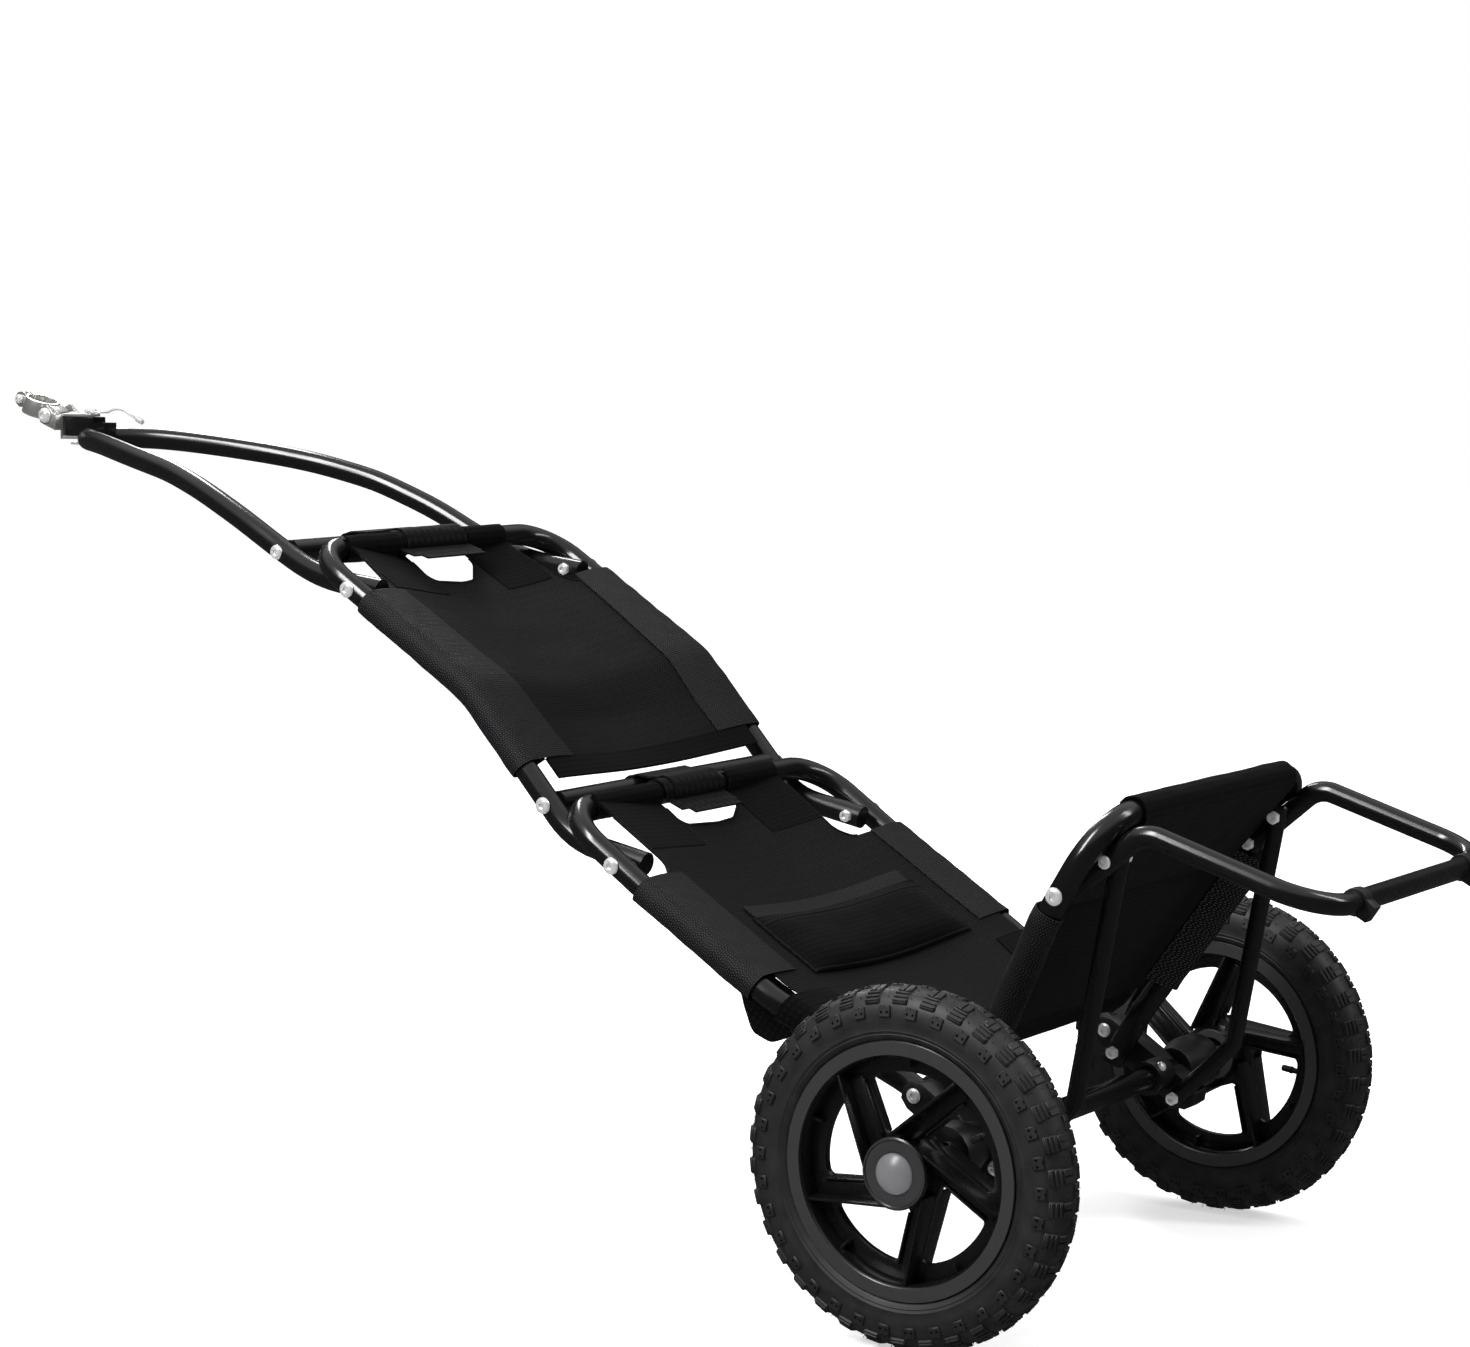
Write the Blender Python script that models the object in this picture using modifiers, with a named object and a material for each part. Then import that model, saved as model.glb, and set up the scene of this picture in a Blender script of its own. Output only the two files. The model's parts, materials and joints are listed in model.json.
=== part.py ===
"""Bike cargo trailer: two folding tube frames on two wheels, a seat with a rear stand, a seat post hitch.

Metres, +Z up. The trailer heads towards -X and the near side of the photograph is -Y (left).
The origin is the centre of the seat post clamp. Inside the script everything is placed from
the ground point under the axle, which one root empty carries.
"""
import math

import bmesh
import bpy
from mathutils import Matrix, Vector

# Clearances and small common sizes
GAP = 0.0003
SLACK = 0.0006
TOUCH = 0.0001
CLOTH = 0.0020
SHEET_COLUMNS = 6
SIDES = 10
DRILL_SIDES = 8
TURN_STEPS = 8
RING_STEPS = 24
ARC_STEP = 20
SLEEVE_STEP = 0.12
CUTTER_DEPTH = 0.09
CUT_PAST = 0.04

# Hitch place, measured from the ground point under the axle
HITCH_REACH = 1.260
HITCH_HEIGHT = 0.765

# Tubes
FRAME_R = 0.0110
STAND_R = 0.0095
STRUT_R = 0.0080
WALL = 0.0015

# Wheels and axle
AXLE_HEIGHT = 0.155
AXLE_R = 0.0060
AXLE_TUBE_R = 0.0110
AXLE_TUBE_HALF = 0.236
WHEEL_Y = 0.2932
TYRE_WIDTH = 0.046
TYRE_WALL = 0.0045
RIM_OUTER_R = 0.110
RIM_INNER_R = 0.097
RIM_WIDTH = 0.0416
RIM_LIP = 0.0022
RIM_SEAT_DEPTH = 0.0040
HUB_DISC_R = 0.031
HUB_DISC_DEPTH = 0.0050
HUB_NECK_R = 0.0250
HUB_FACE_Y = 0.3215
HUB_BACK = 0.0240
HUB_R = 0.0160
WEB_THICKNESS = 0.0080
WEB_INTO_RIM = 0.0020
SPOKES = 5
SPOKE_TURN = {-1: math.radians(40.0), 1: math.radians(66.0)}
RIB_OFFSET = 0.0300
RIB_THICKNESS = 0.0042
RIB_START = 0.0040
RIB_SHOULDER = 0.0380
RIB_END = 0.0930
RIB_BELOW_FACE = 0.0030
FLANGE_OFFSET = 0.0105
WINDOW_OUTER_R = 0.0815
WINDOW_INNER_R = 0.0345
WINDOW_STEPS = 4
CAP_R = 0.0175
CAP_SINK = 0.0020
CAP_FACE_Y = 0.3247
VALVE_R = 0.0030
VALVE_LENGTH = 0.026
VALVE_FOOT = 0.0035
VALVE_TURN = {-1: math.radians(27.0), 1: math.radians(-8.0)}

# Axle bracket: a channel on each side, leaning down to the rear, with a collar and a boss
ARM_SLOPE = math.radians(33.2)
ARM_DROP = 0.0030
ARM_FRONT = 0.0815
ARM_REAR = 0.0423
ARM_HALF = 0.0135
PLATE = 0.0018
FRAME_RIVET_AT = -0.0686
SEAT_HINGE_AT = -0.0417
STRUT_FOOT_AT = 0.0283
COLLAR_R = 0.0160
COLLAR_INNER_Y = 0.134
BOSS_R = 0.0200
BOSS_FLANGE_R = 0.0260
BOSS_END_Y = 0.240
COLLAR_SCREW_Y = 0.142

# Lower frame: a loop whose legs rise forward from the brackets
LOWER_RUN = 0.4215
LOWER_SLOPE = math.radians(32.1)
LOWER_HALF = 0.2148
LOWER_FOOT_HALF = 0.1765
LOWER_TAPER_START = 0.2745
LOWER_FOOT_STRAIGHT = 0.018
LOWER_BOW = 0.0045
LOWER_CORNER = 0.048
LOWER_TAIL = 0.012
FRAME_HINGE_FROM_BAR = 0.0766

# Upper frame: its rails pass under the lower top bar and pivot at the frame hinge
UPPER_HALF = 0.1867
RAIL_FOOT_RUN = 0.0702
RAIL_FOOT_SLOPE = math.radians(11.3)
RAIL_MID_RUN = 0.1751
RAIL_MID_SLOPE = math.radians(48.4)
RAIL_TOP_RUN = 0.2281
RAIL_TOP_SLOPE = math.radians(32.4)
RAIL_TAIL = 0.012
RAIL_BEND = 0.080
UPPER_CORNER = 0.048
CROSS_TUBE_AT = 0.0410
DRAWBAR_PIVOT_FROM_BAR = 0.0628

# Drawbar: leg centre line from its pivot, as forward reach, half width and rise. In front of its
# cross tube a leg stretches to meet the tongue block.
LEG_POINTS = (
    (-0.0200, 0.1627, -0.0033), (0.0450, 0.1627, 0.0046), (0.0760, 0.1600, 0.0130),
    (0.1150, 0.1535, 0.0300), (0.1440, 0.1520, 0.0457), (0.1720, 0.1480, 0.0597),
    (0.2340, 0.1360, 0.0857), (0.2950, 0.1160, 0.1027), (0.3390, 0.1040, 0.1107),
    (0.3900, 0.0840, 0.1187), (0.4400, 0.0600, 0.1257), (0.4790, 0.0400, 0.1287),
    (0.5040, 0.0103, 0.1290), (0.5100, -0.0060, 0.1290))
LEG_CROSS_FORWARD = 0.1140
LEG_NOSE_REACH = 0.51046

# Seat loop and rear stand
SEAT_SLOPE = math.radians(58.8)
SEAT_RUN = 0.3163
SEAT_HALF = 0.1982
SEAT_FOOT_HALF = 0.1495
SEAT_FOOT_STRAIGHT = 0.045
SEAT_TAPER_FROM_BAR = 0.1033
SEAT_TAIL = 0.012
SEAT_CORNER = 0.053
STAND_HINGE_FROM_BAR = 0.0778
STAND_HALF = 0.1742
STAND_FIRST_SLOPE = math.radians(40.3)
STAND_FIRST_RUN = 0.0854
STAND_PIN_AT = 0.0438
STAND_SECOND_SLOPE = math.radians(-17.5)
STAND_SECOND_RUN = 0.1724
STAND_TAIL = 0.004
STAND_BEND = 0.028
STAND_CORNER = 0.050
FOOT_Y = 0.113
FOOT_LENGTH = 0.020
FOOT_R = 0.0130
FOOT_REACH = 0.0190
STAND_LEAN = math.radians(55.27)

# Struts from the stand down to the brackets
STRUT_HALF = 0.1545
STRUT_KNEE_RUN = 0.0796
STRUT_KNEE_SLOPE = math.radians(44.2)
STRUT_TAIL = 0.009
STRUT_BEND = 0.022

# Screws
SCREW_R = 0.0030
HEAD_R = 0.0078
HEAD_HEIGHT = 0.0032
SMALL_HEAD_R = 0.0068
NUT_R = 0.0058
NUT_HEIGHT = 0.0055
RIVET_HEAD = 0.0025
PIN_CAP_R = 0.0058
PIN_CAP_HEIGHT = 0.0016

# Cloth: stations are measured down the rails from the top bars
SLEEVE_R = 0.0133
EDGE_RISE = 0.0124
UPPER_SAG = 0.022
UPPER_SLEEVE_START = 0.086
UPPER_SLEEVE_END = 0.318
UPPER_HEM = 0.342
UPPER_SHOULDER_INNER = 0.060
UPPER_SHOULDER_OUTER = 0.128
UPPER_NECK_DEPTH = 0.056
UPPER_NECK_ROUND = 0.020
UPPER_ARMHOLE = 0.093
UPPER_ARMHOLE_ROUND = 0.016
ARMHOLE_LEAN = 0.002
LOWER_SLEEVE_START = 0.111
LOWER_SLEEVE_END = 0.232
LOWER_PATCH_START = 0.288
LOWER_PATCH_END = 0.366
LOWER_SAG = 0.016
LOWER_SHOULDER_INNER = 0.066
LOWER_SHOULDER_OUTER = 0.150
LOWER_NECK_DEPTH = 0.047
LOWER_NECK_ROUND = 0.022
LOWER_ARMHOLE_ROUND = 0.020
SLING_HALF = 0.130
SLING_END = 0.064
SLING_CORNER_AHEAD = 0.004
SLING_CORNER_RISE = 0.017
SEAT_SHEET_START = 0.067
SEAT_SLEEVE_START = 0.080
SEAT_SLEEVE_FROM_BAR = 0.0963
SEAT_SAG = 0.006
SEAT_CORNER_IN = 0.010
SEAT_CORNER_START = 0.040
SEAT_CORNER_END = 0.016
FLAP_DROP = 0.041
FLAP_HALF = 0.022
FLAP_AT = 0.248
FLAP_ROUND = 0.012
POUCH_START = 0.180
POUCH_END = 0.268
POUCH_COLUMNS = 4
POUCH_DEPTH = 0.014
POUCH_GAP = 0.0004
STRAP_HALF = 0.042
STRAP_TAIL = 0.024
ROLL_HALF = 0.054
ROLL_TAIL = 0.020
TAIL_SHARE = 0.9

# Hitch: tongue block, clevis, pin, clip and clamp
PIN_BEHIND_CLAMP = 0.0720
BLOCK_HALF = 0.0100
BLOCK_AHEAD_OF_PIN = 0.0290
BLOCK_BEHIND_PIN = 0.0280
BLOCK_BELOW_CLAMP = 0.0300
NOSE_BEHIND_PIN = 0.0020
NOSE_BELOW_BLOCK = 0.00193
PIN_R = 0.0040
PIN_HEAD_R = 0.0065
PIN_HEAD_HEIGHT = 0.0045
PIN_TIP = 0.0130
PIN_CHAMFER = 0.0013
RING_R = 0.0085
RING_WIRE_R = 0.0014
CLEVIS_PLATE = 0.0028
CLEVIS_WEB_GAP = 0.0030
CLEVIS_SIDE = 0.0098
EAR_INNER_Y = 0.0170
EAR_PLATE = 0.0030
EAR_RISE = 0.0060
PITCH_BEHIND_CLAMP = 0.0257
PITCH_BELOW_CLAMP = 0.0083
EAR_R = 0.0110
CLIP_WIRE_R = 0.0012
CLIP_DROP = 0.0052
CLIP_REACH = 0.0260
CLIP_OFFSET = 0.0062
CLIP_TAIL = 0.0065
CLIP_WAIST = 0.0117
CLIP_FLARE = 0.0006
CLIP_EYE = ((0.0, 0.0), (0.0038, 0.0018), (0.0044, 0.0050), (0.0020, 0.0082), (-0.0040, 0.0088))
POST_TILT = math.radians(18.0)
BAND_INNER_R = 0.0159
BAND_OUTER_R = 0.0190
BAND_HEIGHT = 0.0175
BAND_SLIT = 0.0040
CLAMP_EAR = 0.0035
CLAMP_EAR_REACH = 0.0340
CLAMP_EAR_R = 0.0085
CLAMP_SCREW_REACH = 0.0270
CLAMP_SCREW_R = 0.0025
CLAMP_HEAD_R = 0.0048
CLAMP_HEAD_HEIGHT = 0.0040
BOLT_HEAD_HEIGHT = 0.0055
LUG_HALF = 0.0090
LUG_R = 0.0075
LANYARD_R = 0.0012
CRIMP_R = 0.0028
LANYARD_BEND = 0.008
LANYARD_POINTS = ((0.0, 0.0, 0.0), (0.008, 0.0025, 0.0035), (0.018, 0.0040, 0.0025),
                  (0.028, 0.0030, -0.0020), (0.042, 0.0, -0.0070))
CRIMP_LENGTH = 0.0090

COLOURS = {
    "coated_steel": ((0.006, 0.006, 0.007), 0.22, 0.0),
    "bright_steel": ((0.62, 0.62, 0.62), 0.18, 1.0),
    "hitch_steel": ((0.45, 0.45, 0.45), 0.30, 1.0),
    "cast_bracket": ((0.010, 0.010, 0.011), 0.38, 0.0),
    "black_cloth": ((0.012, 0.012, 0.012), 0.85, 0.0),
    "mesh_cloth": ((0.045, 0.045, 0.047), 0.90, 0.0),
    "tyre_rubber": ((0.016, 0.016, 0.017), 0.75, 0.0),
    "wheel_plastic": ((0.012, 0.012, 0.013), 0.40, 0.0),
    "cap_plastic": ((0.10, 0.10, 0.105), 0.45, 0.0),
    "black_plastic": ((0.014, 0.014, 0.015), 0.45, 0.0),
    "wire": ((0.35, 0.35, 0.36), 0.35, 1.0),
}


def clear_scene():
    for obj in list(bpy.data.objects):
        bpy.data.objects.remove(obj, do_unlink=True)


def make_collection(name):
    collection = bpy.data.collections.new(name)
    bpy.context.scene.collection.children.link(collection)
    return collection


def make_material(name):
    colour, roughness, metallic = COLOURS[name]
    material = bpy.data.materials.new(name)
    material.use_nodes = True
    shader = material.node_tree.nodes["Principled BSDF"]
    shader.inputs["Base Color"].default_value = (*colour, 1.0)
    shader.inputs["Roughness"].default_value = roughness
    shader.inputs["Metallic"].default_value = metallic
    return material


clear_scene()
TRAILER = make_collection("bike_cargo_trailer")
CUTTERS = make_collection("cutters")


def add_empty(name, place, parent):
    empty = bpy.data.objects.new(name, None)
    TRAILER.objects.link(empty)
    empty.empty_display_size = 0.03
    empty.location = place
    empty.parent = parent
    if parent is not None:
        empty.location = Vector(place) - GROUND_PLACES[parent.name]
    GROUND_PLACES[name] = Vector(place) if parent is not None else Vector((0.0, 0.0, 0.0))
    return empty


GROUND_PLACES = {}
ROOT = add_empty("trailer_root", (HITCH_REACH, 0.0, -HITCH_HEIGHT), None)


def point(x, z, y=0.0):
    return Vector((x, y, z))


def ray(angle):
    return Vector((math.cos(angle), 0.0, math.sin(angle)))


def side_name(side):
    return "left" if side < 0 else "right"


# Joint places in the side view
ARM_DIR = ray(-ARM_SLOPE)
ARM_UP = Vector((math.sin(ARM_SLOPE), 0.0, math.cos(ARM_SLOPE)))
AXLE = point(0.0, AXLE_HEIGHT)


def arm_point(distance):
    return AXLE + ARM_DIR * distance - ARM_UP * ARM_DROP


FRAME_RIVET = arm_point(FRAME_RIVET_AT)
SEAT_HINGE = arm_point(SEAT_HINGE_AT)
STRUT_FOOT = arm_point(STRUT_FOOT_AT)
LOWER_DIR = ray(math.pi - LOWER_SLOPE)
LOWER_BAR = FRAME_RIVET + LOWER_DIR * LOWER_RUN
LOWER_DOWN = Vector((-math.sin(LOWER_SLOPE), 0.0, -math.cos(LOWER_SLOPE)))
LOWER_BENDS = tuple(FRAME_RIVET + LOWER_DIR * (LOWER_RUN * share) + LOWER_DOWN * LOWER_BOW
                    for share in (0.37, 0.73))
FRAME_HINGE = LOWER_BAR + (LOWER_BENDS[1] - LOWER_BAR).normalized() * FRAME_HINGE_FROM_BAR
RAIL_FOOT = FRAME_HINGE + ray(math.pi - RAIL_FOOT_SLOPE) * RAIL_FOOT_RUN
RAIL_KNEE = RAIL_FOOT + ray(math.pi - RAIL_MID_SLOPE) * RAIL_MID_RUN
UPPER_BAR = RAIL_KNEE + ray(math.pi - RAIL_TOP_SLOPE) * RAIL_TOP_RUN
CROSS_TUBE = RAIL_FOOT + ray(math.pi - RAIL_MID_SLOPE) * CROSS_TUBE_AT
DRAWBAR_PIVOT = UPPER_BAR + ray(-RAIL_TOP_SLOPE) * DRAWBAR_PIVOT_FROM_BAR
SEAT_DIR = ray(SEAT_SLOPE)
SEAT_UP = Vector((-math.sin(SEAT_SLOPE), 0.0, math.cos(SEAT_SLOPE)))
SEAT_SLEEVE_END = SEAT_RUN - SEAT_SLEEVE_FROM_BAR
SEAT_BAR = SEAT_HINGE + SEAT_DIR * SEAT_RUN
SEAT_TAPER_END = SEAT_RUN - SEAT_TAPER_FROM_BAR
STAND_HINGE = SEAT_BAR - SEAT_DIR * STAND_HINGE_FROM_BAR
STAND_DIR = ray(STAND_FIRST_SLOPE)
STAND_PIN = STAND_HINGE + STAND_DIR * STAND_PIN_AT
STAND_KNEE = STAND_HINGE + STAND_DIR * STAND_FIRST_RUN
STAND_BAR = STAND_KNEE + ray(STAND_SECOND_SLOPE) * STAND_SECOND_RUN
STRUT_KNEE = STRUT_FOOT + ray(STRUT_KNEE_SLOPE) * STRUT_KNEE_RUN
CLAMP = point(-HITCH_REACH, HITCH_HEIGHT)
PIN_X = HITCH_REACH - PIN_BEHIND_CLAMP
BLOCK_FRONT = PIN_X + BLOCK_AHEAD_OF_PIN
BLOCK_REAR = PIN_X - BLOCK_BEHIND_PIN
BLOCK_BOTTOM = HITCH_HEIGHT - BLOCK_BELOW_CLAMP
BLOCK_TOP = BLOCK_BOTTOM + 2 * BLOCK_HALF
PITCH = CLAMP + point(PITCH_BEHIND_CLAMP, -PITCH_BELOW_CLAMP)
POST_AXIS = Vector((math.sin(POST_TILT), 0.0, math.cos(POST_TILT)))
POST_FORWARD = Vector((-math.cos(POST_TILT), 0.0, math.sin(POST_TILT)))
HUB_INNER_Y = BOSS_END_Y + 0.0025
HUB_OUTER_Y = WHEEL_Y + RIM_WIDTH / 2 + 0.004

WHEEL_EMPTIES = {side: add_empty(f"wheel_spin_{side_name(side)}", (0.0, side * WHEEL_Y, AXLE_HEIGHT), ROOT)
                 for side in (-1, 1)}
UPPER_EMPTY = add_empty("upper_frame_fold", FRAME_HINGE, ROOT)
DRAWBAR_EMPTY = add_empty("drawbar_fold", DRAWBAR_PIVOT, UPPER_EMPTY)
YAW_EMPTY = add_empty("hitch_yaw", point(-PIN_X, BLOCK_TOP), DRAWBAR_EMPTY)
PITCH_EMPTY = add_empty("hitch_pitch", PITCH, YAW_EMPTY)
SEAT_EMPTY = add_empty("seat_fold", SEAT_HINGE, ROOT)
STAND_EMPTY = add_empty("stand_fold", STAND_HINGE, SEAT_EMPTY)
STRUT_EMPTY = add_empty("strut_fold", STRUT_FOOT, ROOT)


def place(obj, parent):
    """Hang an object, modelled from the ground point, on the empty of its joint."""
    obj.parent = parent
    obj.matrix_parent_inverse = Matrix.Translation(-GROUND_PLACES[parent.name])


def evaluated_mesh(obj):
    bpy.context.view_layer.update()
    graph = bpy.context.evaluated_depsgraph_get()
    return bpy.data.meshes.new_from_object(obj.evaluated_get(graph), depsgraph=graph)


def weld(mesh, distance=1e-6):
    work = bmesh.new()
    work.from_mesh(mesh)
    bmesh.ops.remove_doubles(work, verts=work.verts, dist=distance)
    bmesh.ops.dissolve_degenerate(work, edges=work.edges, dist=distance / 2)
    bmesh.ops.recalc_face_normals(work, faces=work.faces)
    work.to_mesh(mesh)
    work.free()


def finish(obj, name, material, parent):
    """Name an object, give it its material and make it a node of the trailer."""
    obj.name = name
    obj.data.name = name
    obj.data.materials.clear()
    obj.data.materials.append(MATERIALS[material])
    obj.data.shade_smooth()
    obj.data.set_sharp_from_angle(angle=math.radians(35))
    place(obj, parent)
    return obj


def as_shape(obj):
    """Replace an object by the mesh that its curve or modifiers give."""
    mesh = evaluated_mesh(obj)
    mesh.transform(obj.matrix_world)
    weld(mesh)
    shape = bpy.data.objects.new(obj.name, mesh)
    TRAILER.objects.link(shape)
    bpy.data.objects.remove(obj, do_unlink=True)
    return shape


def combine(target, other, operation):
    """Cut or join a shape with another, which then serves as a hidden cutter."""
    for collection in list(other.users_collection):
        collection.objects.unlink(other)
    CUTTERS.objects.link(other)
    other.hide_render = True
    other.display_type = "WIRE"
    modifier = target.modifiers.new(operation.lower(), "BOOLEAN")
    modifier.operation = operation
    modifier.solver = "EXACT"
    modifier.object = other
    mesh = evaluated_mesh(target)
    weld(mesh)
    target.modifiers.clear()
    target.data = mesh
    bpy.data.objects.remove(other, do_unlink=True)
    return target


def cut(target, *others):
    for other in others:
        combine(target, other, "DIFFERENCE")
    return target


def join(target, *others):
    for other in others:
        combine(target, other, "UNION")
    return target


def fillet(points, radii):
    """Round the inner points of a path with arcs, a few steps to each."""
    rounded = [points[0]]
    for before, corner, after, radius in zip(points, points[1:], points[2:], radii):
        inward = (before - corner).normalized()
        outward = (after - corner).normalized()
        turn = math.pi - inward.angle(outward)
        if turn < 0.02 or radius <= 0.0:
            rounded.append(corner)
            continue
        reach = radius * math.tan(turn / 2)
        middle = (inward + outward).normalized()
        centre = corner + middle * (radius / math.cos(turn / 2))
        start = corner + inward * reach - centre
        axis = start.cross(corner + outward * reach - centre).normalized()
        steps = max(1, round(math.degrees(turn) / ARC_STEP))
        for step in range(steps + 1):
            rounded.append(centre + Matrix.Rotation(turn * step / steps, 3, axis) @ start)
    rounded.append(points[-1])
    return rounded


def pipe(points, radius, caps=True, sides=SIDES, closed=False):
    """A round bar along a path, as a mesh."""
    data = bpy.data.curves.new("pipe", "CURVE")
    data.dimensions = "3D"
    data.bevel_depth = radius
    data.bevel_resolution = (sides - 4) // 2
    data.use_fill_caps = caps
    spline = data.splines.new("POLY")
    spline.points.add(len(points) - 1)
    for target, place_at in zip(spline.points, points):
        target.co = (*place_at, 1.0)
    spline.use_cyclic_u = closed
    obj = bpy.data.objects.new("pipe", data)
    TRAILER.objects.link(obj)
    return as_shape(obj)


def hollow_tube(points, radius, wall=WALL):
    """A tube with open ends: an uncapped pipe, thickened inwards."""
    tube = pipe(points, radius, caps=False)
    thicken = tube.modifiers.new("wall", "SOLIDIFY")
    thicken.thickness = wall
    thicken.offset = -1.0
    thicken.use_even_offset = False
    return as_shape(tube)


def turned(profile, steps=TURN_STEPS):
    """A turned shape about Z from (radius, height) points that run down its outer side."""
    mesh = bpy.data.meshes.new("turned")
    work = bmesh.new()
    verts = [work.verts.new((radius, 0.0, height)) for radius, height in profile]
    for first, second in zip(verts, verts[1:]):
        work.edges.new((first, second))
    work.to_mesh(mesh)
    work.free()
    obj = bpy.data.objects.new("turned", mesh)
    TRAILER.objects.link(obj)
    screw = obj.modifiers.new("turn", "SCREW")
    screw.steps = steps
    screw.render_steps = steps
    screw.use_merge_vertices = True
    screw.merge_threshold = 0.000005
    return as_shape(obj)


def aim(obj, centre, direction):
    """Turn a shape's Z axis to a direction and move its origin to a point."""
    turn = Vector((0.0, 0.0, 1.0)).rotation_difference(Vector(direction)).to_matrix().to_4x4()
    obj.data.transform(Matrix.Translation(centre) @ turn)
    return obj


def rod(start, end, radius, sides=SIDES):
    """A solid cylinder between two points."""
    start = Vector(start)
    end = Vector(end)
    work = bmesh.new()
    bmesh.ops.create_cone(work, cap_ends=True, segments=sides, radius1=radius, radius2=radius,
                          depth=(end - start).length)
    mesh = bpy.data.meshes.new("rod")
    work.to_mesh(mesh)
    work.free()
    obj = bpy.data.objects.new("rod", mesh)
    TRAILER.objects.link(obj)
    return aim(obj, (start + end) / 2, end - start)


def cross_rod(centre, low, high, radius, sides=SIDES):
    """A solid cylinder along Y."""
    return rod((centre.x, low, centre.z), (centre.x, high, centre.z), radius, sides)


def block(low, high):
    """A box between two corners."""
    low = Vector(low)
    high = Vector(high)
    work = bmesh.new()
    bmesh.ops.create_cube(work, size=1.0)
    size = high - low
    bmesh.ops.transform(work, verts=work.verts,
                        matrix=Matrix.Translation((low + high) / 2) @ Matrix.Diagonal((*size, 1.0)))
    mesh = bpy.data.meshes.new("block")
    work.to_mesh(mesh)
    work.free()
    obj = bpy.data.objects.new("block", mesh)
    TRAILER.objects.link(obj)
    return obj


def plate(outline, thickness, origin, along, across, holes=()):
    """A flat outline, given along two directions, extruded both ways by half its thickness."""
    data = bpy.data.curves.new("plate", "CURVE")
    data.dimensions = "2D"
    data.fill_mode = "BOTH"
    data.extrude = thickness / 2
    for ring in (outline, *holes):
        spline = data.splines.new("POLY")
        spline.points.add(len(ring) - 1)
        for target, (first, second) in zip(spline.points, ring):
            target.co = (first, second, 0.0, 1.0)
        spline.use_cyclic_u = True
    obj = bpy.data.objects.new("plate", data)
    TRAILER.objects.link(obj)
    shape = as_shape(obj)
    along = Vector(along)
    across = Vector(across)
    basis = Matrix((along, across, along.cross(across))).transposed().to_4x4()
    shape.data.transform(Matrix.Translation(origin) @ basis)
    return shape


def half_round(centre, half, start, steps=4):
    """Half a circle about a point of an outline's own length, from a start angle in degrees."""
    angles = [math.radians(start + 180 * step / steps) for step in range(steps + 1)]
    return [(centre + half * math.cos(angle), half * math.sin(angle)) for angle in angles]


def stadium(front, rear, half):
    """An outline with round ends, from front to rear along its length."""
    return half_round(rear - half, half, -90) + half_round(front + half, half, 90)


def along_y(profile, centre, side, y):
    """A turned shape whose top points outwards on one side."""
    return aim(turned(profile), (centre.x, side * y, centre.z), (0.0, side, 0.0))


def side_screw(name, centre, side, head_y, grip_end_y, parent, head_r=HEAD_R):
    """A screw along Y with its head outside, and its lock nut at the inner end."""
    grip = head_y - grip_end_y
    profile = [(0.0, HEAD_HEIGHT), (head_r * 0.62, HEAD_HEIGHT), (head_r, HEAD_HEIGHT * 0.35),
               (head_r, 0.0), (SCREW_R, 0.0), (SCREW_R, -grip), (NUT_R, -grip),
               (NUT_R, -grip - NUT_HEIGHT), (0.0, -grip - NUT_HEIGHT)]
    return finish(along_y(profile, centre, side, head_y), name, "bright_steel", parent)


def drill(obj, centre, side, low, high, radius=SCREW_R + GAP):
    corner_radius = radius / math.cos(math.pi / DRILL_SIDES)
    return cut(obj, cross_rod(centre, side * low, side * high, corner_radius, DRILL_SIDES))


def mirrored(obj):
    """A copy of a shape for the other side."""
    mesh = obj.data.copy()
    mesh.transform(Matrix.Scale(-1.0, 4, (0.0, 1.0, 0.0)))
    mesh.flip_normals()
    copy = bpy.data.objects.new(obj.name, mesh)
    TRAILER.objects.link(copy)
    return copy


MATERIALS = {name: make_material(name) for name in COLOURS}


class Rail:
    """A side view path with arc length stations, for tubes, sleeves and cloth."""

    def __init__(self, points):
        self.points = points
        self.lengths = [0.0]
        for first, second in zip(points, points[1:]):
            self.lengths.append(self.lengths[-1] + (second - first).length)

    def at(self, station):
        station = min(max(station, self.lengths[0]), self.lengths[-1])
        index = 0
        while index < len(self.lengths) - 2 and self.lengths[index + 1] < station:
            index += 1
        first, second = self.points[index], self.points[index + 1]
        share = (station - self.lengths[index]) / (self.lengths[index + 1] - self.lengths[index])
        return first.lerp(second, share)

    def slope(self, station):
        ahead = self.at(station + 0.004) - self.at(station - 0.004)
        return ahead.normalized()

    def rise(self, station):
        """The direction out of the rail on its upper side."""
        along = self.slope(station)
        normal = Vector((-along.z, 0.0, along.x))
        return normal if normal.z > 0 else -normal

    def between(self, start, end):
        inner = [p for p, length in zip(self.points, self.lengths) if start < length < end]
        return [self.at(start)] + inner + [self.at(end)]


def off_centre(point_at, y):
    return Vector((point_at.x, y, point_at.z))


def lower_half(station):
    """Half width of the lower frame at a station below its top bar."""
    taper_run = LOWER_RUN - LOWER_FOOT_STRAIGHT - LOWER_TAPER_START
    share = min(max((station - LOWER_TAPER_START) / taper_run, 0.0), 1.0)
    return LOWER_HALF + (LOWER_FOOT_HALF - LOWER_HALF) * share


def seat_half(station):
    """Half width of the seat loop at a distance from its hinge."""
    share = (station - SEAT_FOOT_STRAIGHT) / (SEAT_TAPER_END - SEAT_FOOT_STRAIGHT)
    return SEAT_FOOT_HALF + (SEAT_HALF - SEAT_FOOT_HALF) * min(max(share, 0.0), 1.0)


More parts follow.
